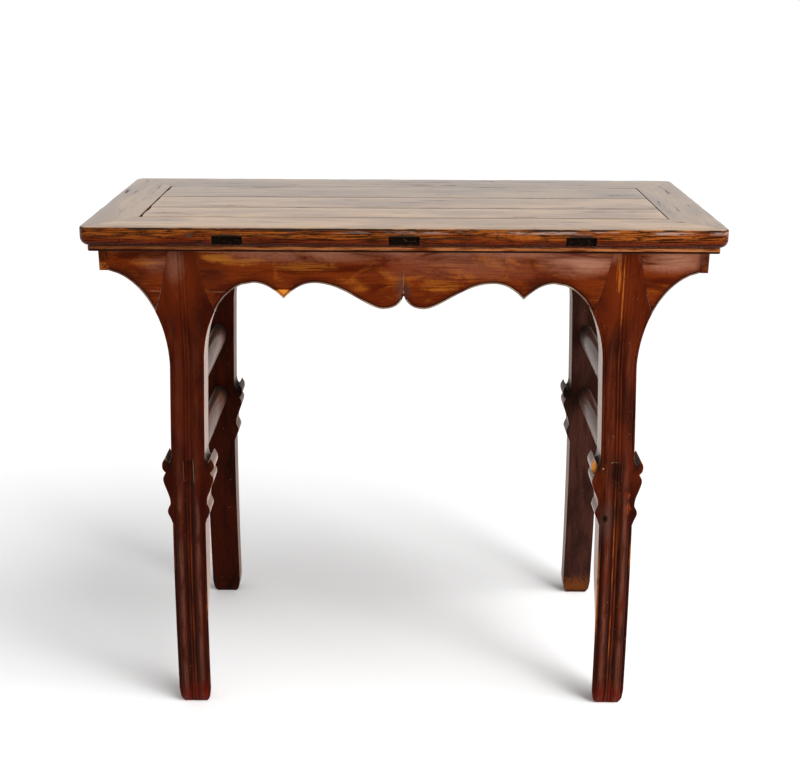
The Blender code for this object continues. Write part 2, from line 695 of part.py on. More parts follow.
def build_stretcher(name, side_x, z, through):
    bm = bmesh.new()
    centre = side_x * leg_centre_x(z)
    ring = []
    for k in range(OVAL_SIDES):
        angle = 2 * math.pi * k / OVAL_SIDES
        x = centre + STRETCHER_WIDTH / 2 * math.cos(angle)
        ring.append((x, z + STRETCHER_HEIGHT / 2 * math.sin(angle)))
    add_prism(bm, ring, -APRON_FACE_Y, APRON_FACE_Y)
    for vert in bm.verts:
        shoulder = leg_face_y(vert.co.z) - LEG_THICKNESS - CLEARANCE
        vert.co.y = math.copysign(shoulder, vert.co.y)
    stretcher = make_object(name, bm, LACQUER)
    tenons = bmesh.new()
    for side_y in (-1, 1):
        inner_y = leg_face_y(z) - LEG_THICKNESS - OVERCUT
        stretcher_tenon_box(tenons, z, stretcher_tenon_reach(z, through), inner_y, side_x, side_y, 0.0)
    combine(stretcher, tenons, 'UNION')
    soften(stretcher)


clear_scene()
build_long_rail("front_long_rail", -1)
build_long_rail("rear_long_rail", 1)
build_short_rail("left_short_rail", -1)
build_short_rail("right_short_rail", 1)
build_panel()
for batten_name, batten_x in batten_places():
    build_batten(batten_name, batten_x)
build_long_apron("front_apron", -1)
build_long_apron("rear_apron", 1)
build_end_apron("left_end_apron", -1)
build_end_apron("right_end_apron", 1)
for side_name, side in (("left", -1), ("right", 1)):
    build_leg("front_" + side_name + "_leg", side, -1)
    build_leg("rear_" + side_name + "_leg", side, 1)
    build_stretcher(side_name + "_upper_stretcher", side, UPPER_STRETCHER_Z, False)
    build_stretcher(side_name + "_lower_stretcher", side, LOWER_STRETCHER_Z, True)
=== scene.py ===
import math

import bmesh
import bpy
from mathutils import Matrix, Vector, noise


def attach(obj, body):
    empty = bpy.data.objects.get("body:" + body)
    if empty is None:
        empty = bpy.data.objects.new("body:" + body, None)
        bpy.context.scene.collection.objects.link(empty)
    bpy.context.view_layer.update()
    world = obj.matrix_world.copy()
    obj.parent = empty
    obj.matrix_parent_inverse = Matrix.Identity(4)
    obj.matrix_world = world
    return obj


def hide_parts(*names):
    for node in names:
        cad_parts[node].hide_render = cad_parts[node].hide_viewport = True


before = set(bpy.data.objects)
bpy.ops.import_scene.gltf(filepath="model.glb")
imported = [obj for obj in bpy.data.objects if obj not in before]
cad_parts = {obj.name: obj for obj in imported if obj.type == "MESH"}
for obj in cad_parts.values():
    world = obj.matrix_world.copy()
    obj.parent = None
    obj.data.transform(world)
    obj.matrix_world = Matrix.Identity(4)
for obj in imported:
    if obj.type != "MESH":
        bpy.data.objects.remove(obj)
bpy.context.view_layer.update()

print("frame loaded:", len(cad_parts), "nodes")

# sizes that several pieces share, in metres, the same as the solids have
table = {
    "length": 0.982, "depth": 0.453, "height": 0.830,
    "railThick": 0.0385, "apronFace": 0.203, "apronEnd": 0.4675, "clear": 0.0003,
}
halfLength, halfDepth, topZ = table["length"] / 2, table["depth"] / 2, table["height"]
clear, apronFace, apronEnd = table["clear"], table["apronFace"], table["apronEnd"]
railBottom = topZ - table["railThick"]
legTop = railBottom - clear
exact, close = 1e-6, 1e-5  # how near counts as the same place
beyond = 0.01  # how far a cutting block reaches past what it cuts


# small helpers for working in edit mode

def freshStart():
    if bpy.context.mode != 'OBJECT':
        bpy.ops.object.mode_set(mode='OBJECT')
    bpy.ops.object.select_all(action='DESELECT')


def makeActive(piece):
    freshStart()
    piece.select_set(True)
    bpy.context.view_layer.objects.active = piece


def editMode():
    bpy.ops.object.mode_set(mode='EDIT')
    bpy.ops.mesh.select_mode(type='VERT')
    bpy.ops.mesh.select_all(action='SELECT')


def objectMode():
    bpy.ops.object.mode_set(mode='OBJECT')


def pick(piece, kind, test):  # selects the verts, edges or faces that pass a test
    bpy.ops.mesh.select_mode(type=kind)
    bpy.ops.mesh.select_all(action='DESELECT')
    mesh = bmesh.from_edit_mesh(piece.data)
    mesh.normal_update()
    for part in getattr(mesh, kind.lower() + "s"):
        if test(part):
            part.select_set(True)
    if kind == 'VERT':
        mesh.select_flush(True)
    bmesh.update_edit_mesh(piece.data)


def pickEdges(piece, test):
    pick(piece, 'EDGE', test)


def pickFaces(piece, test):  # the test is given a face's middle and its direction
    pick(piece, 'FACE', lambda face: test(face.calc_center_median(), face.normal))


def extrudeBy(x, y, z):
    bpy.ops.mesh.extrude_region_move(TRANSFORM_OT_translate={"value": (x, y, z)})


def slices(axis, places):  # new edges all round, square to an axis
    square = Vector([float(name == axis) for name in "xyz"])
    for place in places:
        bpy.ops.mesh.select_all(action='SELECT')
        bpy.ops.mesh.bisect(plane_co=square * place, plane_no=square, threshold=exact)


def trimAt(point, direction):  # cuts off the side that the direction points to, and closes the cut
    bpy.ops.mesh.select_all(action='SELECT')
    bpy.ops.mesh.bisect(plane_co=point, plane_no=direction, clear_outer=True, use_fill=True, threshold=exact)


def normalsOut():
    bpy.ops.mesh.select_all(action='SELECT')
    bpy.ops.mesh.remove_doubles(threshold=exact)
    bpy.ops.mesh.normals_make_consistent(inside=False)


def named(name):  # the thing just added, under its own name
    piece = bpy.context.active_object
    piece.name = piece.data.name = name
    return piece


def addBlock(name, low, high):  # a cube primitive at its size and place
    freshStart()
    low, high = Vector(low), Vector(high)
    bpy.ops.mesh.primitive_cube_add(size=1.0, location=(low + high) / 2)
    block = named(name)
    block.scale = high - low
    bpy.ops.object.transform_apply(location=True, rotation=False, scale=True)
    return block


def addPlate(name, outline, front, depth):  # a circle primitive pulled onto an outline of x and z, then extruded
    freshStart()
    bpy.ops.mesh.primitive_circle_add(vertices=len(outline), radius=1.0, fill_type='NGON')
    plate = named(name)
    for vert, (x, z) in zip(plate.data.vertices, outline):
        vert.co = (x, front, z)
    editMode()
    extrudeBy(0, depth, 0)
    normalsOut()
    return plate


def combine(piece, tool, operation):
    makeActive(piece)
    modifier = piece.modifiers.new("join", 'BOOLEAN')
    modifier.operation, modifier.solver, modifier.object = operation, 'EXACT', tool
    bpy.ops.object.modifier_apply(modifier=modifier.name)
    bpy.data.objects.remove(tool)


def smoothOff(piece, degrees):
    makeActive(piece)
    bpy.ops.object.shade_smooth_by_angle(angle=math.radians(degrees))


def copyOf(piece, name):  # left in edit mode
    freshStart()
    twin = piece.copy()
    twin.data = piece.data.copy()
    twin.name = twin.data.name = name
    bpy.context.scene.collection.objects.link(twin)
    makeActive(twin)
    editMode()
    return twin


def turnPicked(angle):  # about the table's middle
    bpy.ops.transform.rotate(value=angle, orient_axis='Z', center_override=(0, 0, 0))
    objectMode()


def turnedCopy(piece, name):
    twin = copyOf(piece, name)
    turnPicked(math.pi)
    return twin


def mirroredCopy(piece, name):  # left becomes right
    twin = copyOf(piece, name)
    bpy.ops.transform.resize(value=(-1, 1, 1), center_override=(0, 0, 0))
    bpy.ops.mesh.select_all(action='SELECT')
    bpy.ops.mesh.flip_normals()
    objectMode()
    return twin


def evenSteps(first, last, steps):
    return [first + (last - first) * k / steps for k in range(steps + 1)]


def cuts(first, last, spacing):  # places between two ends, about a spacing apart
    return evenSteps(first, last, round((last - first) / spacing))[1:-1]


def quarter(steps, first=0, last=math.pi / 2):  # sine and cosine along a quarter turn
    return [(math.sin(a), math.cos(a)) for a in evenSteps(first, last, steps)]


def smoothCurve(knots, steps):
    padded = [knots[0]] + list(knots) + [knots[-1]]
    points = []
    for before, start, end, after in zip(padded, padded[1:], padded[2:], padded[3:]):
        for t in evenSteps(0, 1, steps)[:-1]:
            point = []
            for a, b, c, d in zip(before, start, end, after):
                bend = (2 * a - 5 * b + 4 * c - d) * t * t + (3 * b - a - 3 * c + d) * t ** 3
                point.append(b + ((c - a) * t + bend) / 2)
            points.append(tuple(point))
    return points + [tuple(knots[-1])]


def ramp(value, low, high):  # 0 at low, 1 at high, smooth between
    t = min(1.0, max(0.0, (value - low) / (high - low)))
    return t * t * (3 - 2 * t)


def jitter(co, size, seed):  # soft unevenness that is the same each run
    return noise.noise(Vector((co[0] + seed, co[1] - seed, co[2] + 2 * seed)) / size)


def layersOf(piece, *names):  # values kept for each point, which the finishes read
    for name in names:
        if name not in piece.data.attributes:
            piece.data.attributes.new(name, 'FLOAT', 'POINT')
    return [piece.data.attributes[name].data for name in names]


def paint(piece, name, rule):
    for point, vert in zip(layersOf(piece, name)[0], piece.data.vertices):
        point.value = max(0.0, min(1.0, rule(vert.co)))


def settle(piece, node):
    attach(piece, "root")
    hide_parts(node)


# top frame: two long rails and two short rails with a moulded edge

rails = {
    "longWidth": 0.084, "shortWidth": 0.076, "corner": 0.016,
    "arrisIn": 0.0022, "arrisDrop": 0.0042, "bellyDrop": 0.017,
    "bandHeight": 0.0292, "coveIn": 0.0125, "lipIn": 0.0103, "lipRound": 0.0014, "quirk": 0.0009,
    "tenonDrop": 0.0125, "tenonHeight": 0.013, "tenonIn": 0.003, "tenonRoot": 0.02,
    "cornerTenonBack": 0.022, "cornerTenonWidth": 0.040,
    "tongueDrop": 0.005, "tongueThick": 0.005, "grooveDepth": 0.008,
    "battenSpacing": 0.267, "battenTenon": 0.046, "cell": 0.009, "facePleats": (0.25, 0.6, 1.0),
    "mitreGap": 0.0002, "wear": 0.0006, "wornBand": 0.012, "wornFull": 0.003, "smooth": 34,
}
openX = halfLength - rails["shortWidth"]
openY = halfDepth - rails["longWidth"]
tenonTop = topZ - rails["tenonDrop"]
tenonBottom = tenonTop - rails["tenonHeight"]
tongueTop = topZ - rails["tongueDrop"]
tongueBottom = tongueTop - rails["tongueThick"]
battenPlaces = [-rails["battenSpacing"], 0.0, rails["battenSpacing"]]


def edgeProfile():  # inset and drop from the top face down to the underside
    cove, belly, lip, lipIn = rails["coveIn"], rails["bellyDrop"], rails["lipRound"], rails["lipIn"]
    turn, lipTop = rails["bandHeight"] - belly, rails["bandHeight"] + rails["quirk"]
    points = [(rails["arrisIn"] * (1 - s), rails["arrisDrop"] * (1 - c)) for s, c in quarter(6)]
    points += [(cove * (1 - c), belly + turn * s) for s, c in quarter(10)] + [(cove, lipTop)]
    points += [(lipIn + lip * (1 - s), lipTop + lip * (1 - c)) for s, c in quarter(3)]
    under = quarter(3, math.pi / 2, 0)
    return points + [(lipIn + lip * (1 - s), table["railThick"] - lip * (1 - c)) for s, c in under]


def moulding(name, halfLong, halfWide, ownWidth, endWidth):  # edge towards -Y, mitred at both ends
    radius = rails["corner"]
    freshStart()
    bpy.ops.mesh.primitive_plane_add(size=0.01)
    rail = named(name)
    editMode()
    bpy.ops.mesh.merge(type='CENTER')
    bpy.ops.mesh.select_all(action='SELECT')
    straight = halfLong - radius
    spots = [Vector((-straight, -halfWide + inset, topZ - drop)) for inset, drop in edgeProfile()]
    bpy.ops.transform.translate(value=spots[0])
    for start, end in zip(spots, spots[1:]):
        bpy.ops.mesh.extrude_vertices_move(TRANSFORM_OT_translate={"value": end - start})
    bpy.ops.mesh.select_all(action='SELECT')
    cells = round(2 * straight / rails["cell"])
    for k in range(cells):
        extrudeBy(2 * straight / cells, 0, 0)
    sweep = math.pi / 2 - math.atan2(ownWidth - radius, endWidth - radius)
    for side in (1, -1):
        pick(rail, 'VERT', lambda v: abs(v.co.x - side * straight) < close)
        pivot = (side * straight, -halfWide + radius, 0)
        bpy.ops.mesh.spin(steps=6, angle=-side * sweep, center=pivot, axis=(0, 0, 1))
    normalsOut()
    inner = -halfWide + ownWidth
    innerX = halfLong - endWidth - rails["mitreGap"]
    for level in (topZ, railBottom):  # top face and underside, drawn in to the inner edge
        pickEdges(rail, lambda e: e.is_boundary and all(abs(v.co.z - level) < exact for v in e.verts))
        done = 0.0
        for share in rails["facePleats"]:
            extrudeBy(0, 0, 0)
            mesh = bmesh.from_edit_mesh(rail.data)
            picked = [v for v in mesh.verts if v.select]
            pull = innerX / max(abs(v.co.x) for v in picked)
            part = (share - done) / (1 - done)
            for vert in picked:
                vert.co = vert.co.lerp(Vector((vert.co.x * pull, inner, level)), part)
            bmesh.update_edit_mesh(rail.data)
            done = share
    pickEdges(rail, lambda e: e.is_boundary and all(abs(v.co.y - inner) < exact for v in e.verts))
    bpy.ops.mesh.bridge_edge_loops()
    for side in (1, -1):
        pickEdges(rail, lambda e: e.is_boundary and e.verts[0].co.x * side > 0)
        bpy.ops.mesh.edge_face_add()
    normalsOut()
    for level in (tongueBottom - clear, tongueBottom + rails["tongueThick"] + clear):
        pickFaces(rail, lambda c, n: abs(c.y - inner) < exact)
        bpy.ops.mesh.bisect(plane_co=(0, 0, level), plane_no=(0, 0, 1))
    pickFaces(rail, lambda c, n: abs(c.y - inner) < exact and tongueBottom < c.z < tongueTop)
    extrudeBy(0, -rails["grooveDepth"], 0)
    normalsOut()
    objectMode()
    return rail


def wearArris(rail, seed):  # a worn, slightly wavy top edge
    band, wear = rails["wornBand"], rails["wear"]
    for vert in rail.data.vertices:
        offX, offY = halfLength - abs(vert.co.x), halfDepth - abs(vert.co.y)
        near = ramp(topZ - vert.co.z, band, 0.0) * ramp(min(offX, offY), band, rails["wornFull"])
        dent = jitter(vert.co, 0.05, seed) + 0.7 * jitter(vert.co, 0.017, seed)
        inward = Vector((0, -math.copysign(1, vert.co.y), 0))
        if offX < offY:
            inward = Vector((-math.copysign(1, vert.co.x), 0, 0))
        vert.co += inward * near * wear * (dent + 0.4)
        vert.co.z -= near * wear * 0.6 * max(0.0, dent)


def cutBattenHoles(rail):
    half = rails["battenTenon"] / 2 + clear
    for x in battenPlaces:
        low = (x - half, -halfDepth - beyond, tenonBottom - clear)
        high = (x + half, -openY + beyond, tenonTop + clear)
        combine(rail, addBlock("battenHole", low, high), 'DIFFERENCE')


def cornerTenon(gap, rootX, tipX, sideY):
    outer = halfDepth - rails["cornerTenonBack"] + gap
    ys = sorted((sideY * outer, sideY * (outer - rails["cornerTenonWidth"] - 2 * gap)))
    return addBlock("cornerTenon", (rootX, ys[0], tenonBottom - gap), (tipX, ys[1], tenonTop + gap))


print("top frame")
frontRail = moulding("frontLongRail", halfLength, halfDepth, rails["longWidth"], rails["shortWidth"])
cutBattenHoles(frontRail)
tenonRoot, tenonTip = openX - rails["tenonRoot"], halfLength - rails["tenonIn"]
combine(frontRail, cornerTenon(0.0, tenonRoot, tenonTip, -1), 'UNION')
combine(frontRail, cornerTenon(0.0, -tenonTip, -tenonRoot, -1), 'UNION')
rearRail = turnedCopy(frontRail, "rearLongRail")
rightRail = moulding("rightShortRail", halfDepth, halfLength, rails["shortWidth"], rails["longWidth"])
makeActive(rightRail)
editMode()
turnPicked(-math.pi / 2)
for sideY in (-1, 1):
    combine(rightRail, cornerTenon(clear, tenonRoot, halfLength + beyond, sideY), 'DIFFERENCE')
leftRail = turnedCopy(rightRail, "leftShortRail")
topRails = [(frontRail, "front_long_rail"), (rearRail, "rear_long_rail")]
topRails += [(rightRail, "right_short_rail"), (leftRail, "left_short_rail")]
for seed, (rail, node) in enumerate(topRails):
    wearArris(rail, seed * 3.1)
    smoothOff(rail, rails["smooth"])
    settle(rail, node)


# floating panel of three boards, and the battens under it

panel = {
    "thick": 0.012, "endGap": 0.0016, "sideGap": 0.0003, "shrunk": 0.0022, "shrunkBand": 0.002,
    "frontWidth": 0.082, "middleWidth": 0.095, "tongue": 0.007, "boardTongue": 0.005,
    "cell": 0.0125, "arris": 0.0005, "wave": 0.0002, "smooth": 40,
}
panelBottom = topZ - panel["thick"]


def makeBoard(name, front, rear, frontJoint, rearJoint):  # a joint below zero is a groove
    half = openX - panel["endGap"]
    board = addBlock(name, (-half, front, panelBottom), (half, rear, topZ))
    editMode()
    slices("z", (tongueBottom, tongueTop))
    slices("x", cuts(-half, half, panel["cell"]))
    slices("y", cuts(front, rear, panel["cell"]))
    inBand = lambda c: tongueBottom < c.z < tongueTop
    for side in (-1, 1):
        pickFaces(board, lambda c, n: n.x * side > 0.9 and inBand(c))
        extrudeBy(side * (panel["endGap"] + panel["tongue"]), 0, 0)
    for side, y, joint in ((-1, front, frontJoint), (1, rear, rearJoint)):
        onSide = lambda c, n: n.y * side > 0.9 and abs(c.y - y) < close and abs(c.x) < half
        pickFaces(board, lambda c, n: onSide(c, n) and inBand(c))
        extrudeBy(0, side * joint, 0)
    normalsOut()
    isTop = lambda e: all(v.co.z > topZ - close for v in e.verts)
    pickEdges(board, lambda e: isTop(e) and any(abs(f.normal.z) < 0.1 for f in e.link_faces))
    bpy.ops.mesh.bevel(offset=panel["arris"], segments=2, affect='EDGES')
    objectMode()
    for vert in board.data.vertices:
        if vert.co.x < -half + panel["shrunkBand"] and vert.co.z > tongueTop - 0.0001:  # shrunk away from the left rail
            uneven = 0.45 + jitter(vert.co, 0.03, 7.0) + 0.4 * ramp(vert.co.y, 0.02, -0.06)
            vert.co.x += panel["shrunk"] * uneven
        if vert.co.z > tongueTop + 0.001:
            vert.co.z += panel["wave"] * (jitter(vert.co, 0.06, 4.0) - 0.6)
    smoothOff(board, panel["smooth"])
    return board


print("panel and battens")
frontSeam = -openY + panel["frontWidth"]
rearSeam = frontSeam + panel["middleWidth"]
panelEdge = openY - panel["sideGap"]
rim, join = panel["tongue"] + panel["sideGap"], panel["boardTongue"]
frontBoard = makeBoard("frontPanelBoard", -panelEdge, frontSeam - clear, rim, join)
middleBoard = makeBoard("middlePanelBoard", frontSeam, rearSeam - clear, -join - clear, join)
rearBoard = makeBoard("rearPanelBoard", rearSeam, panelEdge, -join - clear, rim)
settle(frontBoard, "front_panel_board")
settle(middleBoard, "middle_panel_board")
settle(rearBoard, "rear_panel_board")

batten = {"width": 0.052, "rise": 0.0035, "round": 0.003, "endRough": 0.0012, "endCuts": 7, "smooth": 45}


def makeBatten(name, x):
    half, endY, tipY = batten["width"] / 2, openY - clear, halfDepth - rails["tenonIn"]
    low = (x - half, -endY, railBottom + batten["rise"])
    piece = addBlock(name, low, (x + half, endY, panelBottom - clear))
    editMode()
    isLow = lambda e: all(v.co.z < panelBottom - 0.01 for v in e.verts)
    pickEdges(piece, lambda e: isLow(e) and abs(e.verts[0].co.x - e.verts[1].co.x) < exact)
    bpy.ops.mesh.bevel(offset=batten["round"], segments=3, affect='EDGES')
    slices("z", (tenonBottom, tenonTop))
    tenonHalf = rails["battenTenon"] / 2
    slices("x", (x - tenonHalf, x + tenonHalf))
    inTenon = lambda c: tenonBottom < c.z < tenonTop and abs(c.x - x) < tenonHalf
    for side in (-1, 1):
        pickFaces(piece, lambda c, n: n.y * side > 0.9 and inTenon(c))
        extrudeBy(0, side * (tipY - endY), 0)
        bpy.ops.mesh.subdivide(number_cuts=batten["endCuts"])
    normalsOut()
    objectMode()
    for vert in piece.data.vertices:
        if abs(vert.co.y) > tipY - 0.001:
            chip = jitter(vert.co, 0.006, x) + jitter(vert.co, 0.02, x)
            vert.co.y -= math.copysign(batten["endRough"], vert.co.y) * (0.6 + chip)
    smoothOff(piece, batten["smooth"])
    return piece


battens = []
for side, x in zip(("left", "middle", "right"), battenPlaces):
    battens.append(makeBatten(side + "Batten", x))
    settle(battens[-1], side + "_batten")


# legs: sword legs with a leaf flange, two beads and cushioned halves

leg = {
    "half": 0.027, "thick": 0.044, "centre": 0.341, "bow": 0.0135, "splay": 0.013,
    "flareZ": 0.605, "shoulderZ": 0.694, "waistRise": 0.030, "waist": 0.0350, "top": 0.0195,
    "outerRun": 0.0995, "outerRise": 0.155, "innerRun": 0.0817, "innerRise": 0.135,
    "shoulderThick": 0.009, "shoulderStep": 0.0006, "upperRows": (0.75, 0.77),
    "slotBack": 0.0203, "slotHalf": 0.1, "slotTop": 0.9, "flangeBase": 0.335,
    "bud": [(0.0, 0.0), (0.0028, 0.008), (0.0076, 0.021), (0.0030, 0.034)],
    "leaf": [(0.0030, 0.034), (0.0045, 0.047), (0.0138, 0.0755), (0.0095, 0.0885)],
    "hook": [(0.0095, 0.0885), (0.0145, 0.0955), (0.0148, 0.1055), (0.0098, 0.1150)],
    "cleft": [(0.0098, 0.1150), (0.0050, 0.1055), (0.0015, 0.1100), (0.0, 0.1180)],
    "foot": [(0.0085, 0.0), (0.0046, 0.0036), (0.0020, 0.0105), (0.0, 0.026)],
    "beadAt": 0.0023, "beadHalf": 0.0021, "beadRise": 0.0013,
    "channel": 0.0052, "channelDeep": 0.0010, "cushionTop": 0.0021,
    "rim": 0.0034, "rimGroove": 0.0018, "rimDeep": 0.0013, "core": 0.008, "row": 0.0125,
    "arris": 0.0011, "backArris": 0.0015, "taper": 0.22, "ease": 0.21, "smooth": 38,
    "footWorn": 0.22, "footWornRise": 0.020, "footMiddle": 0.42,
}
stretcher = {
    "upperZ": 0.550, "lowerZ": 0.427, "width": 0.026, "height": 0.042, "sides": 44, "row": 0.012, "wave": 0.0004,
    "tenonWidth": 0.014, "tenonHeight": 0.035, "tenonGap": 0.0007, "tenonRoot": 0.006, "smooth": 40,
}
legHalfWidth, legThick, shoulderZ, flangeBase = leg["half"], leg["thick"], leg["shoulderZ"], leg["flangeBase"]
waistZ = shoulderZ + leg["waistRise"]
rimStart = legHalfWidth - leg["rim"] - leg["rimGroove"]
beadColumns = [leg["beadAt"] + leg["beadHalf"] * k / 2 for k in (-2, -1, 0, 1, 2)] + [leg["channel"]]
tenonHalf, tenonTall = stretcher["tenonWidth"] / 2, stretcher["tenonHeight"] / 2


def legLean(z):
    return max(0.0, (leg["flareZ"] - z) / leg["flareZ"])


def legCentre(z):
    return leg["centre"] + leg["bow"] * legLean(z) * (2 - legLean(z))


def legFace(z):
    return apronFace + leg["splay"] * legLean(z)


def flareHalf(z, outer):  # half width of the leg's flare, which the apron carries on
    run, rise = (leg["outerRun"], leg["outerRise"]) if outer else (leg["innerRun"], leg["innerRise"])
    return legHalfWidth + run * (1 - math.cos(math.asin(min(1.0, (z - leg["flareZ"]) / rise))))


def legHalf(z, outer):  # half width of the leg and its shoulder
    half = flareHalf(min(max(z, leg["flareZ"]), shoulderZ), outer)
    if z > waistZ:
        return leg["waist"] + (leg["top"] - leg["waist"]) * (z - waistZ) / (legTop - waistZ)
    if z > shoulderZ:
        return half + (leg["waist"] - half) * (z - shoulderZ) / leg["waistRise"]
    return half


def spreadAcross(u, z):  # beads and rim keep their width, what lies between is stretched
    half = legHalf(z, u > 0)
    a, core, keep = abs(u), leg["core"], leg["rim"] + leg["rimGroove"]
    x = a
    if a > legHalfWidth - keep:
        x = half - (legHalfWidth - a)
    elif a > core:
        x = core + (a - core) * (half - keep - core) / (legHalfWidth - keep - core)
    return math.copysign(x, u)


def legRelief(u, z):  # how far the face stands out: beads, cushions and the groove inside the rim
    a, start, deep = abs(u), leg["channel"], leg["channelDeep"]
    strength = 0.35 + 0.65 * ramp(z, 0.50, 0.30)
    calm = ramp(z, shoulderZ, 0.60)
    if a < start:
        bead = max(0.0, 1 - ((a - leg["beadAt"]) / leg["beadHalf"]) ** 2)
        return leg["beadRise"] * (0.55 + 0.45 * calm) * bead ** 0.6 - deep * strength * (0.3 + 0.7 * calm)
    if a < rimStart:
        t = (a - start) / (rimStart - start)
        bow = (4 * t * (1 - t)) ** 0.75
        return ((leg["cushionTop"] + deep) * bow - deep * (1 - t)) * strength * calm
    inGroove = (a - rimStart) / leg["rimGroove"]
    plain = ramp(abs(z - flangeBase - 0.06), 0.062, 0.085)
    return -leg["rimDeep"] * math.sin(math.pi * inGroove) * plain * calm if inGroove < 1 else 0.0


def legOutline():
    edge = [(legHalfWidth - back, z) for back, z in leg["foot"]]
    for part in ("bud", "leaf", "hook", "cleft"):
        edge += [(legHalfWidth + reach, flangeBase + rise) for reach, rise in smoothCurve(leg[part], 5)[:-1]]
    edge += [(legHalfWidth, z) for z in (flangeBase + leg["cleft"][-1][1], shoulderZ, legTop)]
    return edge + [(-u, z) for u, z in reversed(edge)]


def placeLegPoint(co):
    u, y, z = co
    behind = z > shoulderZ + close and y > leg["shoulderThick"] + 1e-4
    x = u if behind else spreadAcross(u, z)
    y *= 1 - leg["taper"] * ramp(z, flangeBase, 0.0)
    worn = 1 - leg["footWorn"] * ramp(z, leg["footWornRise"], 0.0) ** 2
    middle = legThick * leg["footMiddle"]
    y = middle + (y - middle) * worn
    if co[1] < close:
        y -= legRelief(u, z) * ramp(z, 0.002, 0.02)
    return Vector((-(legCentre(z) + x), -(legFace(z) - y), z))


def makeLeg(name):
    piece = addPlate(name, legOutline(), 0.0, legThick)
    objectMode()
    low = (-leg["slotHalf"], leg["shoulderThick"], shoulderZ)
    high = (leg["slotHalf"], leg["slotBack"], leg["slotTop"])
    combine(piece, addBlock("slot", low, high), 'DIFFERENCE')
    editMode()
    for plane, arris in ((0.0, leg["arris"]), (legThick, leg["backArris"])):
        onFace = lambda e: all(abs(v.co.y - plane) < exact and v.co.z < shoulderZ + close for v in e.verts)
        pickEdges(piece, lambda e: onFace(e) and any(abs(f.normal.y) < 0.5 for f in e.link_faces))
        bpy.ops.mesh.bevel(offset=arris, segments=3, affect='EDGES', clamp_overlap=True)
    slices("y", (leg["arris"] * 1.8, legThick / 2, legThick - leg["backArris"] * 1.8))
    rows = evenSteps(0.0, shoulderZ, round(shoulderZ / leg["row"]))[1:]
    rows += [shoulderZ + leg["shoulderStep"], shoulderZ + leg["waistRise"] / 2, waistZ]
    rows += [leg["foot"][1][1], *leg["upperRows"]]
    slices("z", rows)
    columns = beadColumns + evenSteps(leg["channel"], rimStart, 7)[1:]
    columns += [rimStart + leg["rimGroove"] * k / 4 for k in (1, 2, 3, 4)] + [legHalfWidth, legHalfWidth + 0.005]
    slices("x", [0.0] + columns + [-u for u in columns])
    objectMode()
    across, deep = layersOf(piece, "across", "deep")
    for k, vert in enumerate(piece.data.vertices):
        across[k].value, deep[k].value = vert.co.x, vert.co.y
        vert.co = placeLegPoint(vert.co)
    z, gap = stretcher["lowerZ"], stretcher["tenonGap"]
    middle, face = -legCentre(z), -legFace(z)
    low = (middle - tenonHalf - gap, face - beyond, z - tenonTall - gap)
    high = (middle + tenonHalf + gap, face + legThick + beyond, z + tenonTall + gap)
    combine(piece, addBlock("tenonHole", low, high), 'DIFFERENCE')
    editMode()
    normalsOut()
    objectMode()
    smoothOff(piece, leg["smooth"])
    return piece


def easeFoot(piece):  # the front legs lose width towards the back near the floor
    for depth, vert in zip(layersOf(piece, "deep")[0], piece.data.vertices):
        middle = math.copysign(legCentre(vert.co.z), vert.co.x)
        pull = leg["ease"] * ramp(depth.value, 0.002, legThick) * ramp(vert.co.z, 0.25, 0.12)
        vert.co.x += (middle - vert.co.x) * pull


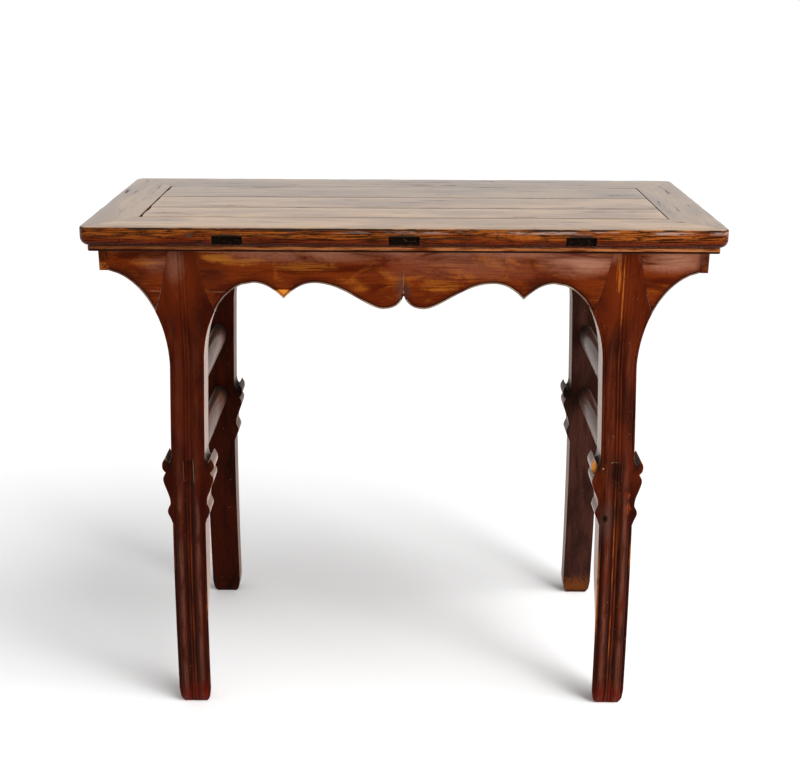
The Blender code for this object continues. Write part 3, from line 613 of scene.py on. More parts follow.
def paintLeg(piece, seed, beadWear, hookDark):  # dirt and painted shade in the hollows, painted shadow in the hooks' clefts, rubbed crests painted paler (wear and a painted highlight), painted shade in the lower valleys, bare arrises, and sides painted paler (partly a painted reflection)
    across, deep, *layers = layersOf(
        piece, "across", "deep", "grimeAndShade", "wear", "crest", "glint", "shade", "flank")
    half, arris, bead, start = legHalfWidth, leg["arris"], leg["beadAt"], leg["channel"]
    cleft = flangeBase + leg["hook"][0][1]
    for k, vert in enumerate(piece.data.vertices):
        u, y, z = across[k].value, deep[k].value, vert.co.z
        a, front = abs(u), y < arris * 1.1
        patchy = lambda size, offset, low, high: ramp(jitter(vert.co, size, seed + offset), low, high)
        rough = 0.5 + 0.5 * jitter(vert.co, 0.03, seed)
        grimeAndShade = wear = crest = glint = shade = 0.0
        if front:
            low = ramp(z, 0.47, 0.33)
            calm = 0.25 * ramp(z, waistZ, 0.62) + 0.75 * low
            cushion = ramp(a, start + 0.0030, start + 0.0065) * ramp(a, rimStart - 0.0015, rimStart - 0.0060)
            hollow = max(ramp(abs(a - start), 0.0012, 0.0), 0.8 * ramp(a, 0.0006, 0.0))
            groove = ramp(abs(a - rimStart - leg["rimGroove"] / 2), 0.0009, 0.0) * calm
            grimeAndShade = max((0.35 + 0.5 * calm) * hollow, 0.8 * groove * rough)
            crest = max(cushion * calm, 0.7 * calm * ramp(abs(a - bead), 0.0011, 0.0) * rough)
            shade = low * (1 - cushion) * ramp(a, start - 0.001, start)
            stretch = 0.2 + 0.8 * max(ramp(z, 0.58, 0.68), ramp(z, 0.40, 0.35))
            wear = beadWear * ramp(abs(u + bead), 0.0008, 0.0) * patchy(0.03, 5, -0.30, 0.15) * stretch
            dashes = patchy(0.035, 7, 0.05, 0.2) * ramp(z, 0.45, 0.35)
            wear = max(wear, 0.9 * beadWear * ramp(abs(u - start - 0.0008), 0.0016, 0.0004) * dashes)
        if 0 < y < arris * 0.9 and flangeBase < z < flangeBase + 0.12:
            glint = 0.8 * patchy(0.008, 3, -0.2, 0.3)
        if y < arris * 0.9 and a > half - arris * 1.2 and z < flangeBase:
            lengthShare = 0.9 * ramp(z, 0.31, 0.24) if u < 0 else beadWear * ramp(z, 0.22, 0.27)
            wear = max(wear, patchy(0.05, 9, -0.2, 0.25) * lengthShare)
        if cleft < z < flangeBase + 0.122:
            inner = ramp(a, half - 0.002, half + 0.001) * ramp(a, half + 0.010, half + 0.007)
            grimeAndShade = max(grimeAndShade, inner * (0.85 if front else 1.0) * ramp(z, cleft + 0.004, cleft + 0.012))
            grimeAndShade = max(grimeAndShade, hookDark * ramp(a, half + 0.002, half + 0.006))
        side = arris * 1.3 < y < legThick - leg["backArris"] * 1.3 and a > half - 0.012
        values = (grimeAndShade, wear, crest, glint, shade, 1 - grimeAndShade if side else 0.0)
        for layer, value in zip(layers, values):
            layer[k].value = value


print("legs")
frontLeft = makeLeg("frontLeftLeg")
frontRight = mirroredCopy(frontLeft, "frontRightLeg")
rearRight = turnedCopy(frontLeft, "rearRightLeg")
rearLeft = turnedCopy(frontRight, "rearLeftLeg")
easeFoot(frontLeft)
easeFoot(frontRight)
legs = [  # with how worn the bead is, and how dark the hook is painted
    (frontLeft, "front_left_leg", 0.2, 0.0), (frontRight, "front_right_leg", 0.85, 0.0),
    (rearLeft, "rear_left_leg", 0.2, 0.9), (rearRight, "rear_right_leg", 0.2, 0.9),
]
for seed, (piece, node, beadWear, hookDark) in enumerate(legs):
    paintLeg(piece, seed * 2.3, beadWear, hookDark)
    settle(piece, node)


# oval stretchers between the legs of each end

def makeTenon(x, z, side):  # its end is carved on with the leg's beads
    face = legFace(z)
    ys = sorted((side * face, side * (face - legThick - stretcher["tenonRoot"])))
    tenon = addBlock("tenon", (x - tenonHalf, ys[0], z - tenonTall), (x + tenonHalf, ys[1], z + tenonTall))
    editMode()
    slices("x", [x] + [x + u for u in beadColumns] + [x - u for u in beadColumns])
    slices("z", evenSteps(z - tenonTall, z + tenonTall, 4)[1:-1])
    normalsOut()
    objectMode()
    for vert in tenon.data.vertices:
        if abs(vert.co.y - side * face) < close:
            vert.co.y = side * (legFace(vert.co.z) + legRelief(vert.co.x - x, vert.co.z))
    return tenon


def makeStretcher(name, z, through):
    freshStart()
    turn = (math.pi / 2, 0, 0)
    bpy.ops.mesh.primitive_cylinder_add(vertices=stretcher["sides"], radius=0.5, depth=1.0, rotation=turn)
    piece = named(name)
    x, reach = legCentre(z), legFace(z) - legThick
    piece.location = (x, 0, z)
    piece.scale = (stretcher["width"], stretcher["height"], 2 * reach)
    bpy.ops.object.transform_apply(location=True, rotation=True, scale=True)
    editMode()
    slices("y", cuts(-reach, reach, stretcher["row"]))
    normalsOut()
    objectMode()
    for vert in piece.data.vertices:
        if abs(abs(vert.co.y) - reach) < close:
            vert.co.y = math.copysign(legFace(vert.co.z) - legThick - clear, vert.co.y)
        else:
            vert.co.x += stretcher["wave"] * jitter(vert.co, 0.06, z)
            vert.co.z += stretcher["wave"] * jitter(vert.co, 0.05, z + 2)
    if through:
        for side in (-1, 1):
            combine(piece, makeTenon(x, z, side), 'UNION')
    smoothOff(piece, stretcher["smooth"])
    nearLeg = lambda y: ramp(y, reach - 0.045, reach - 0.012) * ramp(y, reach + 0.03, reach + 0.01)
    # darker near the legs at both ends: a painted shadow where the stretcher meets the legs
    paint(piece, "grimeAndShade", lambda co: nearLeg(abs(co.y)))
    flanks, shades = layersOf(piece, "flank", "shade")
    # the inner side is painted paler, partly a painted reflection, and the outer side darker as painted shade
    for flank, shade, vert in zip(flanks, shades, piece.data.vertices):
        y, facing = vert.co.y, vert.normal.x
        lengthShare = ramp(y, reach - 0.020, reach - 0.080) * ramp(abs(y), reach + 0.005, reach)
        flank.value = lengthShare * ramp(facing, 0.05, -0.25)
        shade.value = ramp(facing, -0.10, 0.20) if abs(y) < reach + 0.002 else 0.0
    return piece


print("stretchers")
stretchers = []
for level, through in (("Upper", False), ("Lower", True)):
    right = makeStretcher("right" + level + "Stretcher", stretcher[level.lower() + "Z"], through)
    stretchers += [right, turnedCopy(right, "left" + level + "Stretcher")]
for piece, node in zip(stretchers, ("right_upper", "left_upper", "right_lower", "left_lower")):
    settle(piece, node + "_stretcher")


# aprons

apron = {
    "thick": 0.020, "endThick": 0.013, "endHeight": 0.0329, "endArris": 0.0009, "endColumns": 40, "endRows": 5,
    "spandrelRun": 0.0817, "peakDrop": 0.0515, "cuspRun": 0.0465, "cuspDrop": 0.0765,
    "lobeDrop": 0.0925, "lobeSpread": 0.0325, "ogeeSkew": 0.8,
    "notchDrop": 0.0733, "notchHalf": 0.0007, "notchFlare": 0.006,
    "arris": 0.0008, "rim": 0.0010, "groove": 0.0014, "grooveDeep": 0.0014, "edgeShade": 0.014,
    "spare": 0.006, "column": 0.0065, "row": 0.0075,
    "veinWidth": 0.0070, "veinDeep": 0.0046, "veinRise": 0.036, "veinBelow": 0.004, "veinFront": 0.002,
    "roll": 0.0024, "smooth": 38, "endSmooth": 40,
}
longApronEnd = apronEnd - apron["endThick"] - clear
notch = railBottom - apron["notchDrop"]


def spandrel(z, side):  # the edge that carries on the leg's flare, side 1 outwards
    return (leg["centre"] + side * flareHalf(z, side > 0), z)


def apronEdge():  # lower edge from the middle to the end
    peak, cusp, lobe = (railBottom - apron[key] for key in ("peakDrop", "cuspDrop", "lobeDrop"))
    cuspRun, spread = apron["cuspRun"], apron["lobeSpread"]
    outerPeak = leg["centre"] - legHalfWidth - apron["spandrelRun"]
    innerPeak = outerPeak - cuspRun - cuspRun
    points = [(0.0, notch)]
    for s, c in quarter(14):
        out = apron["notchHalf"] + (spread - apron["notchHalf"]) * (1 - c) + apron["notchFlare"] * s * (1 - s)
        points.append((out, notch - (notch - lobe) * s))
    for t in evenSteps(0, 1, 20)[1:-1]:
        rise = (1 - math.cos(math.pi * t ** apron["ogeeSkew"])) / 2
        points.append((spread + (innerPeak - spread) * t, lobe + (peak - lobe) * rise))
    points += [(innerPeak + cuspRun * t, peak - (peak - cusp) * t * t) for t in evenSteps(0, 1, 10)]
    points += [(outerPeak - cuspRun * t, peak - (peak - cusp) * t * t) for t in evenSteps(1, 0, 10)[1:]]
    floor = shoulderZ + clear
    share = (apronEnd - longApronEnd) / leg["outerRun"]
    top = leg["flareZ"] + leg["outerRise"] * math.sin(math.acos(share))
    points += [spandrel(z, -1) for z in evenSteps(peak, floor, 14)[1:]]
    return points + [spandrel(z, 1) for z in evenSteps(floor, top, 14)]


def shoulderShape(side):  # the leg's shoulder with its clearance
    outer, inner = legHalf(shoulderZ, True) + clear, legHalf(shoulderZ, False) + clear
    waist, top, below = leg["waist"] + clear, leg["top"] + clear, shoulderZ - beyond
    upper = [(waist, waistZ), (top, legTop), (top, legTop + 2 * beyond)]
    outline = [(outer, below), (outer, shoulderZ)] + upper
    outline += [(-x, z) for x, z in reversed([(inner, below), (inner, shoulderZ)] + upper)]
    return [(side * (leg["centre"] + x), z) for x, z in outline]


def gapTo(corners, co):  # distance from a point of the face to the shaped edge
    place = Vector((abs(co.x), co.z))
    gaps = []
    for start, end in zip(corners, corners[1:]):
        along = end - start
        share = max(0.0, min(1.0, (place - start).dot(along) / max(along.length_squared, 1e-12)))
        gaps.append((place - start - along * share).length)
    return min(gaps)


def carveVein(piece, face):  # a cut that runs up from the notch and gets shallower
    wide, front = apron["veinWidth"], apron["veinFront"]
    start, end = notch - apron["veinBelow"], notch + apron["veinRise"]
    vein = addPlate("vein", [(-wide, start), (wide, start), (0, end)], face - front, front)
    objectMode()
    for vert in vein.data.vertices:
        if vert.co.y > face - front / 2:
            vert.co.x = 0.0
            vert.co.y = face + apron["veinDeep"] * ramp(vert.co.z, end, notch)
        else:
            vert.co.x *= 2
    combine(piece, vein, 'DIFFERENCE')


def paintApron(piece, face, corners):  # the groove and the vein darkened (dirt and painted shade), the outer arris darkened as painted shade, a pale rim (wear and a painted highlight), and painted shade towards the edge
    arris = apron["arris"]
    worn = arris + apron["rim"] + 0.0003
    gap = lambda co: gapTo(corners, co)
    nearMiddle = lambda co: abs(co.x) < 0.001 and notch < co.z < notch + 0.024
    inVein = lambda co: face + 1e-4 < co.y < face + 0.006 and nearMiddle(co)
    inGroove = lambda co: face + 5e-4 < co.y < face + 2e-3 and gap(co) > worn
    onArris = lambda co: face + 1e-4 < co.y < face + 1e-3 and gap(co) < arris * 0.5
    share = lambda co: min(1.0, 0.70 + 1.1 * jitter(co, 0.022, 3.0)) * (0.6 if abs(co.x) > 0.26 else 1.0)
    onRim = lambda co: co.y < face + 1e-4 and gap(co) < worn
    paint(piece, "grimeAndShade", lambda co: 0.85 if inGroove(co) else 0.6 if inVein(co) or onArris(co) else 0.0)
    paint(piece, "shade", lambda co: ramp(gap(co), apron["edgeShade"], 0.002) if co.y < face + 0.003 else 0.0)
    paint(piece, "glint", lambda co: share(co) if onRim(co) else 0.0)


def makeLongApron(name):
    face, spare, deep = -apronFace, apron["spare"], apron["grooveDeep"]
    half = apronEdge()
    corners = [Vector(point) for point in half]
    half += [(longApronEnd + spare, half[-1][1]), (longApronEnd + spare, legTop + spare)]
    piece = addPlate(name, half + [(-x, z) for x, z in reversed(half[1:])], face, apron["thick"])
    onFront = lambda e: all(abs(v.co.y - face) < exact for v in e.verts)
    pickEdges(piece, lambda e: onFront(e) and any(abs(f.normal.y) < 0.5 for f in e.link_faces))
    bpy.ops.mesh.bevel(offset=apron["arris"], segments=2, affect='EDGES', clamp_overlap=True)
    pickFaces(piece, lambda c, n: n.y < -0.99 and abs(c.y - face) < exact)
    for width, rise in ((apron["rim"], 0.0), (apron["groove"], -deep), (apron["groove"], deep)):
        bpy.ops.mesh.inset(thickness=width, depth=rise, use_even_offset=True)
    trimAt((0, 0, legTop), (0, 0, 1))
    for side in (-1, 1):
        trimAt((side * longApronEnd, 0, 0), (side, 0, 0))
    slices("y", [face + apron["arris"] * 1.7])
    slices("x", cuts(-longApronEnd, longApronEnd, apron["column"]))
    slices("z", cuts(railBottom - apron["lobeDrop"], legTop, apron["row"]))
    normalsOut()
    objectMode()
    for side in (-1, 1):
        recess = addPlate("recess", shoulderShape(side), face - beyond, beyond + leg["shoulderThick"] + clear)
        objectMode()
        combine(piece, recess, 'DIFFERENCE')
    carveVein(piece, face)
    paintApron(piece, face, corners)
    for vert in piece.data.vertices:
        if vert.co.y < face + 0.006:  # the face rolls in towards the notch
            vert.co.y += apron["roll"] * (ramp(abs(vert.co.x), 0.016, 0.0) * ramp(vert.co.z, notch + 0.03, notch))
    smoothOff(piece, apron["smooth"])
    return piece


def makeEndApron(name):
    low = (apronEnd - apron["endThick"], -apronFace, railBottom - apron["endHeight"])
    piece = addBlock(name, low, (apronEnd, apronFace, legTop))
    editMode()
    bpy.ops.mesh.select_mode(type='EDGE')
    bpy.ops.mesh.select_all(action='SELECT')
    bpy.ops.mesh.bevel(offset=apron["endArris"], segments=2, affect='EDGES')
    slices("y", evenSteps(-apronFace, apronFace, apron["endColumns"])[1:-1])
    slices("z", evenSteps(low[2], legTop, apron["endRows"])[1:-1])
    normalsOut()
    objectMode()
    smoothOff(piece, apron["endSmooth"])
    return piece


print("aprons")
frontApron = makeLongApron("frontApron")
rearApron = turnedCopy(frontApron, "rearApron")
rightEnd = makeEndApron("rightEndApron")
leftEnd = turnedCopy(rightEnd, "leftEndApron")
for piece, node in zip((frontApron, rearApron, rightEnd, leftEnd), ("front", "rear", "right_end", "left_end")):
    settle(piece, node + "_apron")


# finishes: node helpers first, which draw in the tree that is being made

tree = None


def newFinish(name):
    global tree
    finish = bpy.data.materials.new(name)
    finish.use_nodes = True
    tree = finish.node_tree
    return finish


def feed(socket, value):
    if isinstance(value, bpy.types.NodeSocket):
        tree.links.new(value, socket)
    elif socket.type == 'RGBA':
        socket.default_value = (*value, 1.0)
    else:
        socket.default_value = value


def addNode(kind, sockets=None, **settings):
    made = tree.nodes.new('ShaderNode' + kind)
    for key, value in settings.items():
        setattr(made, key, value)
    for key, value in (sockets or {}).items():
        feed(made.inputs[key], value)
    return made


def objectPlace():
    return addNode('TexCoord').outputs['Object']


def axisOf(axis):
    return addNode('SeparateXYZ', {0: objectPlace()}).outputs[axis]


def mottle(vector, size, detail, rough, twist=0.0):
    sockets = {'Vector': vector, 'Scale': 1 / size, 'Detail': detail, 'Roughness': rough, 'Distortion': twist}
    return addNode('TexNoise', sockets).outputs['Fac']


def grainMottle(grain, shift, stretch, further, *pattern):  # drawn out along the grain
    moved = shift + further
    sockets = {'Vector': objectPlace(), 'Scale': [stretch if axis == grain else 1.0 for axis in "XYZ"]}
    sockets['Location'] = (moved, moved * 0.7, moved * 1.3)
    return mottle(addNode('Mapping', sockets).outputs['Vector'], *pattern)


def between(value, low, high):  # smooth step from 0 at low to 1 at high
    ends = (0.0, 1.0) if low < high else (1.0, 0.0)
    sockets = {'Value': value, 'From Min': min(low, high), 'From Max': max(low, high)}
    sockets['To Min'], sockets['To Max'] = ends
    return addNode('MapRange', sockets, interpolation_type='SMOOTHSTEP').outputs['Result']


def reckon(operation, *values):
    return addNode('Math', dict(enumerate(values)), operation=operation).outputs[0]


def times(made, *others):
    for other in others:
        made = reckon('MULTIPLY', made, other)
    return made


def plus(first, second):
    return reckon('ADD', first, second)


def minus(first, second):
    return reckon('SUBTRACT', first, second)


def lay(colour, tint, *shares):  # a tint over a colour, by all the shares multiplied
    return addNode('Mix', {0: times(*shares), 6: colour, 7: tint}, data_type='RGBA').outputs[2]


def painted(name):
    return addNode('Attribute', attribute_name=name).outputs['Fac']


def spot(place, size, soft, ragged):  # a placed mark, 1 inside and 0 outside
    sockets = {'Vector': objectPlace(), 'Location': place, 'Scale': size}
    made = addNode('Mapping', sockets, vector_type='TEXTURE').outputs['Vector']
    away = addNode('VectorMath', {0: made}, operation='LENGTH').outputs['Value']
    if ragged:
        rough = mottle(objectPlace(), 0.006, 4.0, 0.6)
        away = plus(away, times(minus(rough, 0.5), ragged))
    return between(away, 1 + soft, 1 - soft)


def unevenGloss(least, most):
    return reckon('MULTIPLY_ADD', mottle(objectPlace(), 0.02, 4.0, 0.6), most - least, least)


def dress(look, colour, roughness, height, coat=0.0):
    bump = addNode('Bump', {'Strength': 1.0, 'Distance': look["bump"], 'Height': height})
    sockets = {
        'Base Color': colour, 'Roughness': roughness, 'Normal': bump.outputs['Normal'], 'IOR': look["ior"],
        'Coat Weight': coat, 'Coat Roughness': look["coatRough"], 'Specular Tint': look["glossTint"],
        'Sheen Weight': look["sheen"], 'Sheen Roughness': look["sheenRough"], 'Sheen Tint': look["sheenTint"],
    }
    for key, value in sockets.items():
        feed(tree.nodes["Principled BSDF"].inputs[key], value)


def marksAt(y, deep, *rows):  # tone, share, x, z, half width, half height and raggedness of each
    return [(tone, share, (x, y, z), (wide, deep, tall), ragged)
            for tone, share, x, z, wide, tall, ragged in rows]


def cracksOnTop(*rows):  # share, x, y, half width, half depth and raggedness of each
    return [("crack", share, (x, y, topZ), (wide, deep, 0.01), ragged)
            for share, x, y, wide, deep, ragged in rows]


markSoftness = {"orange": 0.08, "paintedSheen": 0.8, "greyDirtAndShading": 0.9, "shade": 0.6, "warm": 0.8, "other": 0.4}


def addMarks(colour, marks, tones, streak, cloud):  # worn, stained or dirty places found on the real table, and painted shade, sheen and highlights
    for tone, share, place, size, ragged in marks:
        soft = markSoftness.get(tone, markSoftness["other"])
        shares = [spot(place, size, soft, ragged), share]
        if tone in ("ochre", "redder", "bare", "rust"):
            shares.append(between(streak, 0.36, 0.58))
        # pale sheen marks are a painted reflection, broken up by the cloud and the grain
        if tone == "paintedSheen":
            shares += [between(cloud, 0.32, 0.58), between(streak, 0.14, 0.50)]
        colour = lay(colour, tones[tone], *shares)
    return colour


# lacquer of the legs, aprons and stretchers

lacquer = {
    # the near-black tone below paints dirt, and also shade in hollows, clefts and joints
    "bare": (0.30, 0.074, 0.0085), "chip": (0.42, 0.16, 0.028), "dirtAndShade": (0.0035, 0.0018, 0.0012),
    # the pale crest tone is partly wear and partly a painted highlight
    # the pale grey-pink sheen tone paints a reflection on the lacquer
    "pale": (0.36, 0.22, 0.14), "rubbedHighlight": (0.125, 0.044, 0.028), "paintedSheen": (0.29, 0.130, 0.080),
    "ochre": (0.30, 0.098, 0.013), "glint": (0.30, 0.215, 0.155), "redder": (0.090, 0.0036, 0.0009),
    "warm": (0.115, 0.0150, 0.0020), "shade": (0.014, 0.0040, 0.0026), "orange": (0.62, 0.205, 0.022),
    # the dark grey tone below is grey dirt on a leg, and painted light and shade beside the apron's vein
    "greyDirtAndShading": (0.048, 0.023, 0.018), "chestnut": (0.15, 0.038, 0.006), "rust": (0.22, 0.034, 0.008),
    # the warm side tone below is partly a painted reflection
    "cream": (0.42, 0.30, 0.15), "flank": (0.17, 0.066, 0.030), "flankCoat": 0.0, "sideSheenShare": 0.0,
    "ior": 1.50, "glossTint": (0.48, 0.077, 0.029), "gloss": (0.12, 0.30), "bump": 0.0007, "coatRough": 0.20,
    "sheen": 0.60, "sheenRough": 0.12, "sheenTint": (1.0, 0.84, 0.70), "marks": [],
    "rubbedHighlightShare": 0.65, "streakShare": 0.5, "fineShare": 0.35, "shadeShare": 0.8, "stainShare": 0.55,
    "nickGlintShare": 0.45, "stain": (0.009, 4.0, 0.68),
}
lacquerGrain = {  # stretch along the grain, shift, size, detail, roughness and twist of each pattern
    "cloud": (0.25, 0, 0.030, 5.0, 0.6, 0.5), "patch": (0.45, 5, 0.030, 5.0, 0.65, 0.8),
    "streak": (0.045, 0, 0.0035, 4.0, 0.6), "fine": (0.045, 0, 0.0014, 2.0, 0.5),
    "crestPatches": (0.25, 0, 0.012, 4.0, 0.6), "wearing": (0.25, 0, 0.006, 4.0, 0.65),
    "dents": (0.25, 0, 0.011, 3.0, 0.5), "nickGlint": (0.45, 0, 0.0032, 3.0, 0.6),
}
# on the legs the sheen marks are painted reflections and the shade marks painted shade round the tenons
legMarks = marksAt(
    -0.205, 0.012,
    ("warm", 0.50, -0.3545, 0.7450, 0.040, 0.050, 0.8), ("warm", 0.35, -0.3320, 0.7400, 0.016, 0.045, 0.8),
    ("warm", 0.75, 0.3300, 0.7350, 0.022, 0.060, 0.8), ("paintedSheen", 0.70, 0.3760, 0.7860, 0.012, 0.011, 0.5),
    ("paintedSheen", 0.45, 0.3240, 0.7850, 0.010, 0.010, 0.5), ("bare", 0.9, 0.3312, 0.757, 0.0040, 0.027, 1.2),
    ("bare", 0.95, 0.3385, 0.712, 0.0010, 0.062, 1.0), ("chip", 0.95, 0.3097, 0.4425, 0.0054, 0.0120, 0.5),
    ("pale", 0.9, 0.3248, 0.4346, 0.0012, 0.0014, 0.0), ("dirtAndShade", 0.8, 0.3530, 0.3977, 0.0028, 0.0030, 0.6),
    ("greyDirtAndShading", 0.7, 0.3345, 0.3400, 0.0100, 0.0280, 0.9), ("dirtAndShade", 1.0, 0.3323, 0.3475, 0.0042, 0.0068, 0.4),
    ("shade", 0.6, 0.3462, 0.4290, 0.0125, 0.0250, 0.8), ("shade", 0.25, -0.3462, 0.4290, 0.0110, 0.0230, 0.8),
    ("paintedSheen", 0.35, -0.3520, 0.7690, 0.0120, 0.0240, 0.8))
legMarks += marksAt(
    -0.205, 0.040,
    ("redder", 1.0, 0.3545, 0.0, 0.045, 0.036, 0.9), ("redder", 1.0, -0.3545, 0.0, 0.045, 0.038, 0.9))
legMarks += marksAt(
    -0.205, 0.012,
    ("rust", 0.60, 0.3690, 0.3640, 0.0050, 0.0100, 3.0), ("rust", 0.50, 0.3660, 0.3880, 0.0050, 0.0060, 3.0))
legMarks += marksAt(
    -0.21, 0.014,
    ("cream", 0.45, -0.3388, 0.4270, 0.0005, 0.0175, 1.2), ("cream", 0.40, -0.3425, 0.4095, 0.0045, 0.0005, 1.2),
    ("cream", 0.40, 0.3440, 0.4452, 0.0070, 0.0006, 1.6))
dull = {"sheenRough": 0.30, "sheenTint": (1.0, 0.72, 0.57)}
dullLeg = {**dull, "glossTint": (1.0, 0.60, 0.40)}
legLook = {
    **dullLeg, "deep": (0.018, 0.0014, 0.0004), "red": (0.074, 0.0085, 0.0011), "amber": (0.14, 0.030, 0.003),
    "amberShare": 0.04, "deepShare": 0.45, "ior": 1.12, "flankCoat": 0.25, "sideSheenShare": 0.55, "sheen": 0.75,
    "marks": legMarks,
}
leftLegLook = {
    **legLook, "deep": (0.020, 0.0010, 0.0003), "red": (0.060, 0.0062, 0.0008), "deepShare": 0.47,
}
# the rear legs are a darker copy of the leg lacquer: painted shade; the rear right one is greyer, a painted reflection
shadedRearLegLook = {
    **dullLeg, "deep": (0.008, 0.0008, 0.0003), "red": (0.032, 0.0034, 0.0009), "amber": (0.09, 0.022, 0.004),
    "amberShare": 0.02, "deepShare": 0.5, "ior": 1.14, "flankCoat": 0.18, "sideSheenShare": 0.35, "sheen": 0.45,
    "gloss": (0.45, 0.65),
}
shadedGreyRearLegLook = {**shadedRearLegLook, "deep": (0.018, 0.0055, 0.0038), "red": (0.045, 0.0150, 0.0105)}
shadedGreyRearLegLook["marks"] = marksAt(0.195, 0.045, ("chestnut", 0.65, 0.3545, 0.0, 0.04, 0.034, 1.6))
shadedGreyRearLegLook["marks"] += marksAt(0.195, 0.05, ("shade", 0.70, 0.3545, 0.0, 0.05, 0.0060, 1.0))
stretcherLook = {
    **dull, "deep": (0.024, 0.0026, 0.0008), "red": (0.060, 0.0082, 0.0018), "amber": (0.13, 0.034, 0.005),
    "amberShare": 0.08, "deepShare": 0.5, "ior": 1.14, "flankCoat": 0.42, "sideSheenShare": 0.6, "sheen": 0.14,
    "gloss": (0.45, 0.65),
    "marks": marksAt(-0.21, 0.012, ("shade", 0.85, 0.3462, 0.4270, 0.0090, 0.0190, 0.6),
                     ("shade", 0.30, -0.3462, 0.4270, 0.0090, 0.0190, 0.6)),
}
apronMarks = marksAt(
    -0.205, 0.012,
    ("shade", 0.55, -0.4350, 0.7450, 0.045, 0.018, 0.9), ("shade", 0.45, -0.4150, 0.7880, 0.060, 0.007, 0.9),
    ("shade", 0.45, -0.2950, 0.7450, 0.030, 0.022, 0.9), ("ochre", 0.95, -0.2845, 0.7800, 0.024, 0.0075, 1.2),
    ("ochre", 0.75, -0.2480, 0.7740, 0.034, 0.0065, 1.2), ("ochre", 0.50, -0.1500, 0.7660, 0.040, 0.0080, 1.2),
    ("orange", 0.95, -0.1864, 0.7165, 0.030, 0.0132, 0.06))
# grey marks on both sides of the vein: painted light and shade of the fold
apronMarks += marksAt(
    -0.203, 0.012,
    ("greyDirtAndShading", 0.75, -0.0045, 0.7340, 0.0060, 0.0170, 1.0), ("greyDirtAndShading", 0.60, 0.0055, 0.7280, 0.0050, 0.0100, 1.0))
# a painted highlight just above the notch's point, and a faint pale line up the vein
apronMarks += marksAt(
    -0.200, 0.020,
    ("pale", 0.30, 0.0, 0.7440, 0.0007, 0.0150, 0.3), ("pale", 0.90, 0.0, 0.7250, 0.0012, 0.0026, 0.2))
# in this list the sheen marks are painted reflections and the shade marks painted shade
apronMarks += marksAt(
    -0.205, 0.012,
    ("shade", 0.6, 0.2021, 0.7390, 0.016, 0.012, 0.9), ("dirtAndShade", 0.7, 0.1559, 0.7873, 0.0035, 0.0035, 0.8),
    ("dirtAndShade", 0.5, 0.1535, 0.7760, 0.0012, 0.0100, 0.6), ("paintedSheen", 0.95, 0.2650, 0.7740, 0.042, 0.017, 0.5),
    ("paintedSheen", 0.95, 0.4100, 0.7780, 0.042, 0.014, 0.5), ("paintedSheen", 0.80, 0.2980, 0.7800, 0.026, 0.015, 0.5),
    ("paintedSheen", 0.38, 0.1000, 0.7810, 0.130, 0.011, 0.5), ("paintedSheen", 0.65, -0.1500, 0.7840, 0.095, 0.0095, 0.5),
    ("paintedSheen", 0.40, -0.3780, 0.7720, 0.020, 0.0150, 0.5), ("paintedSheen", 0.70, 0.0900, 0.7905, 0.360, 0.0060, 0.5),
    ("paintedSheen", 0.20, 0.1000, 0.7600, 0.110, 0.012, 0.5), ("pale", 0.28, -0.3840, 0.7262, 0.0090, 0.0007, 1.0),
    ("pale", 0.25, -0.2860, 0.7253, 0.0110, 0.0006, 1.0), ("dirtAndShade", 0.7, -0.3790, 0.7040, 0.006, 0.008, 0.9),
    ("dirtAndShade", 0.6, 0.2990, 0.7030, 0.006, 0.007, 0.9), ("dirtAndShade", 0.6, 0.3810, 0.7030, 0.006, 0.007, 0.9),
    ("ochre", 0.45, 0.0560, 0.7380, 0.030, 0.010, 1.2), ("ochre", 0.50, -0.4000, 0.7720, 0.018, 0.0050, 1.2),
    ("dirtAndShade", 0.55, -0.4610, 0.7850, 0.010, 0.012, 0.9), ("ochre", 0.70, -0.4610, 0.7640, 0.008, 0.0065, 1.0),
    ("shade", 0.65, 0.4610, 0.7750, 0.010, 0.0200, 0.6))
apronLook = {
    "deep": (0.036, 0.0036, 0.0008), "red": (0.125, 0.0195, 0.0026), "amber": (0.25, 0.064, 0.0065),
    "amberShare": 0.16, "deepShare": 0.43, "marks": apronMarks,
}


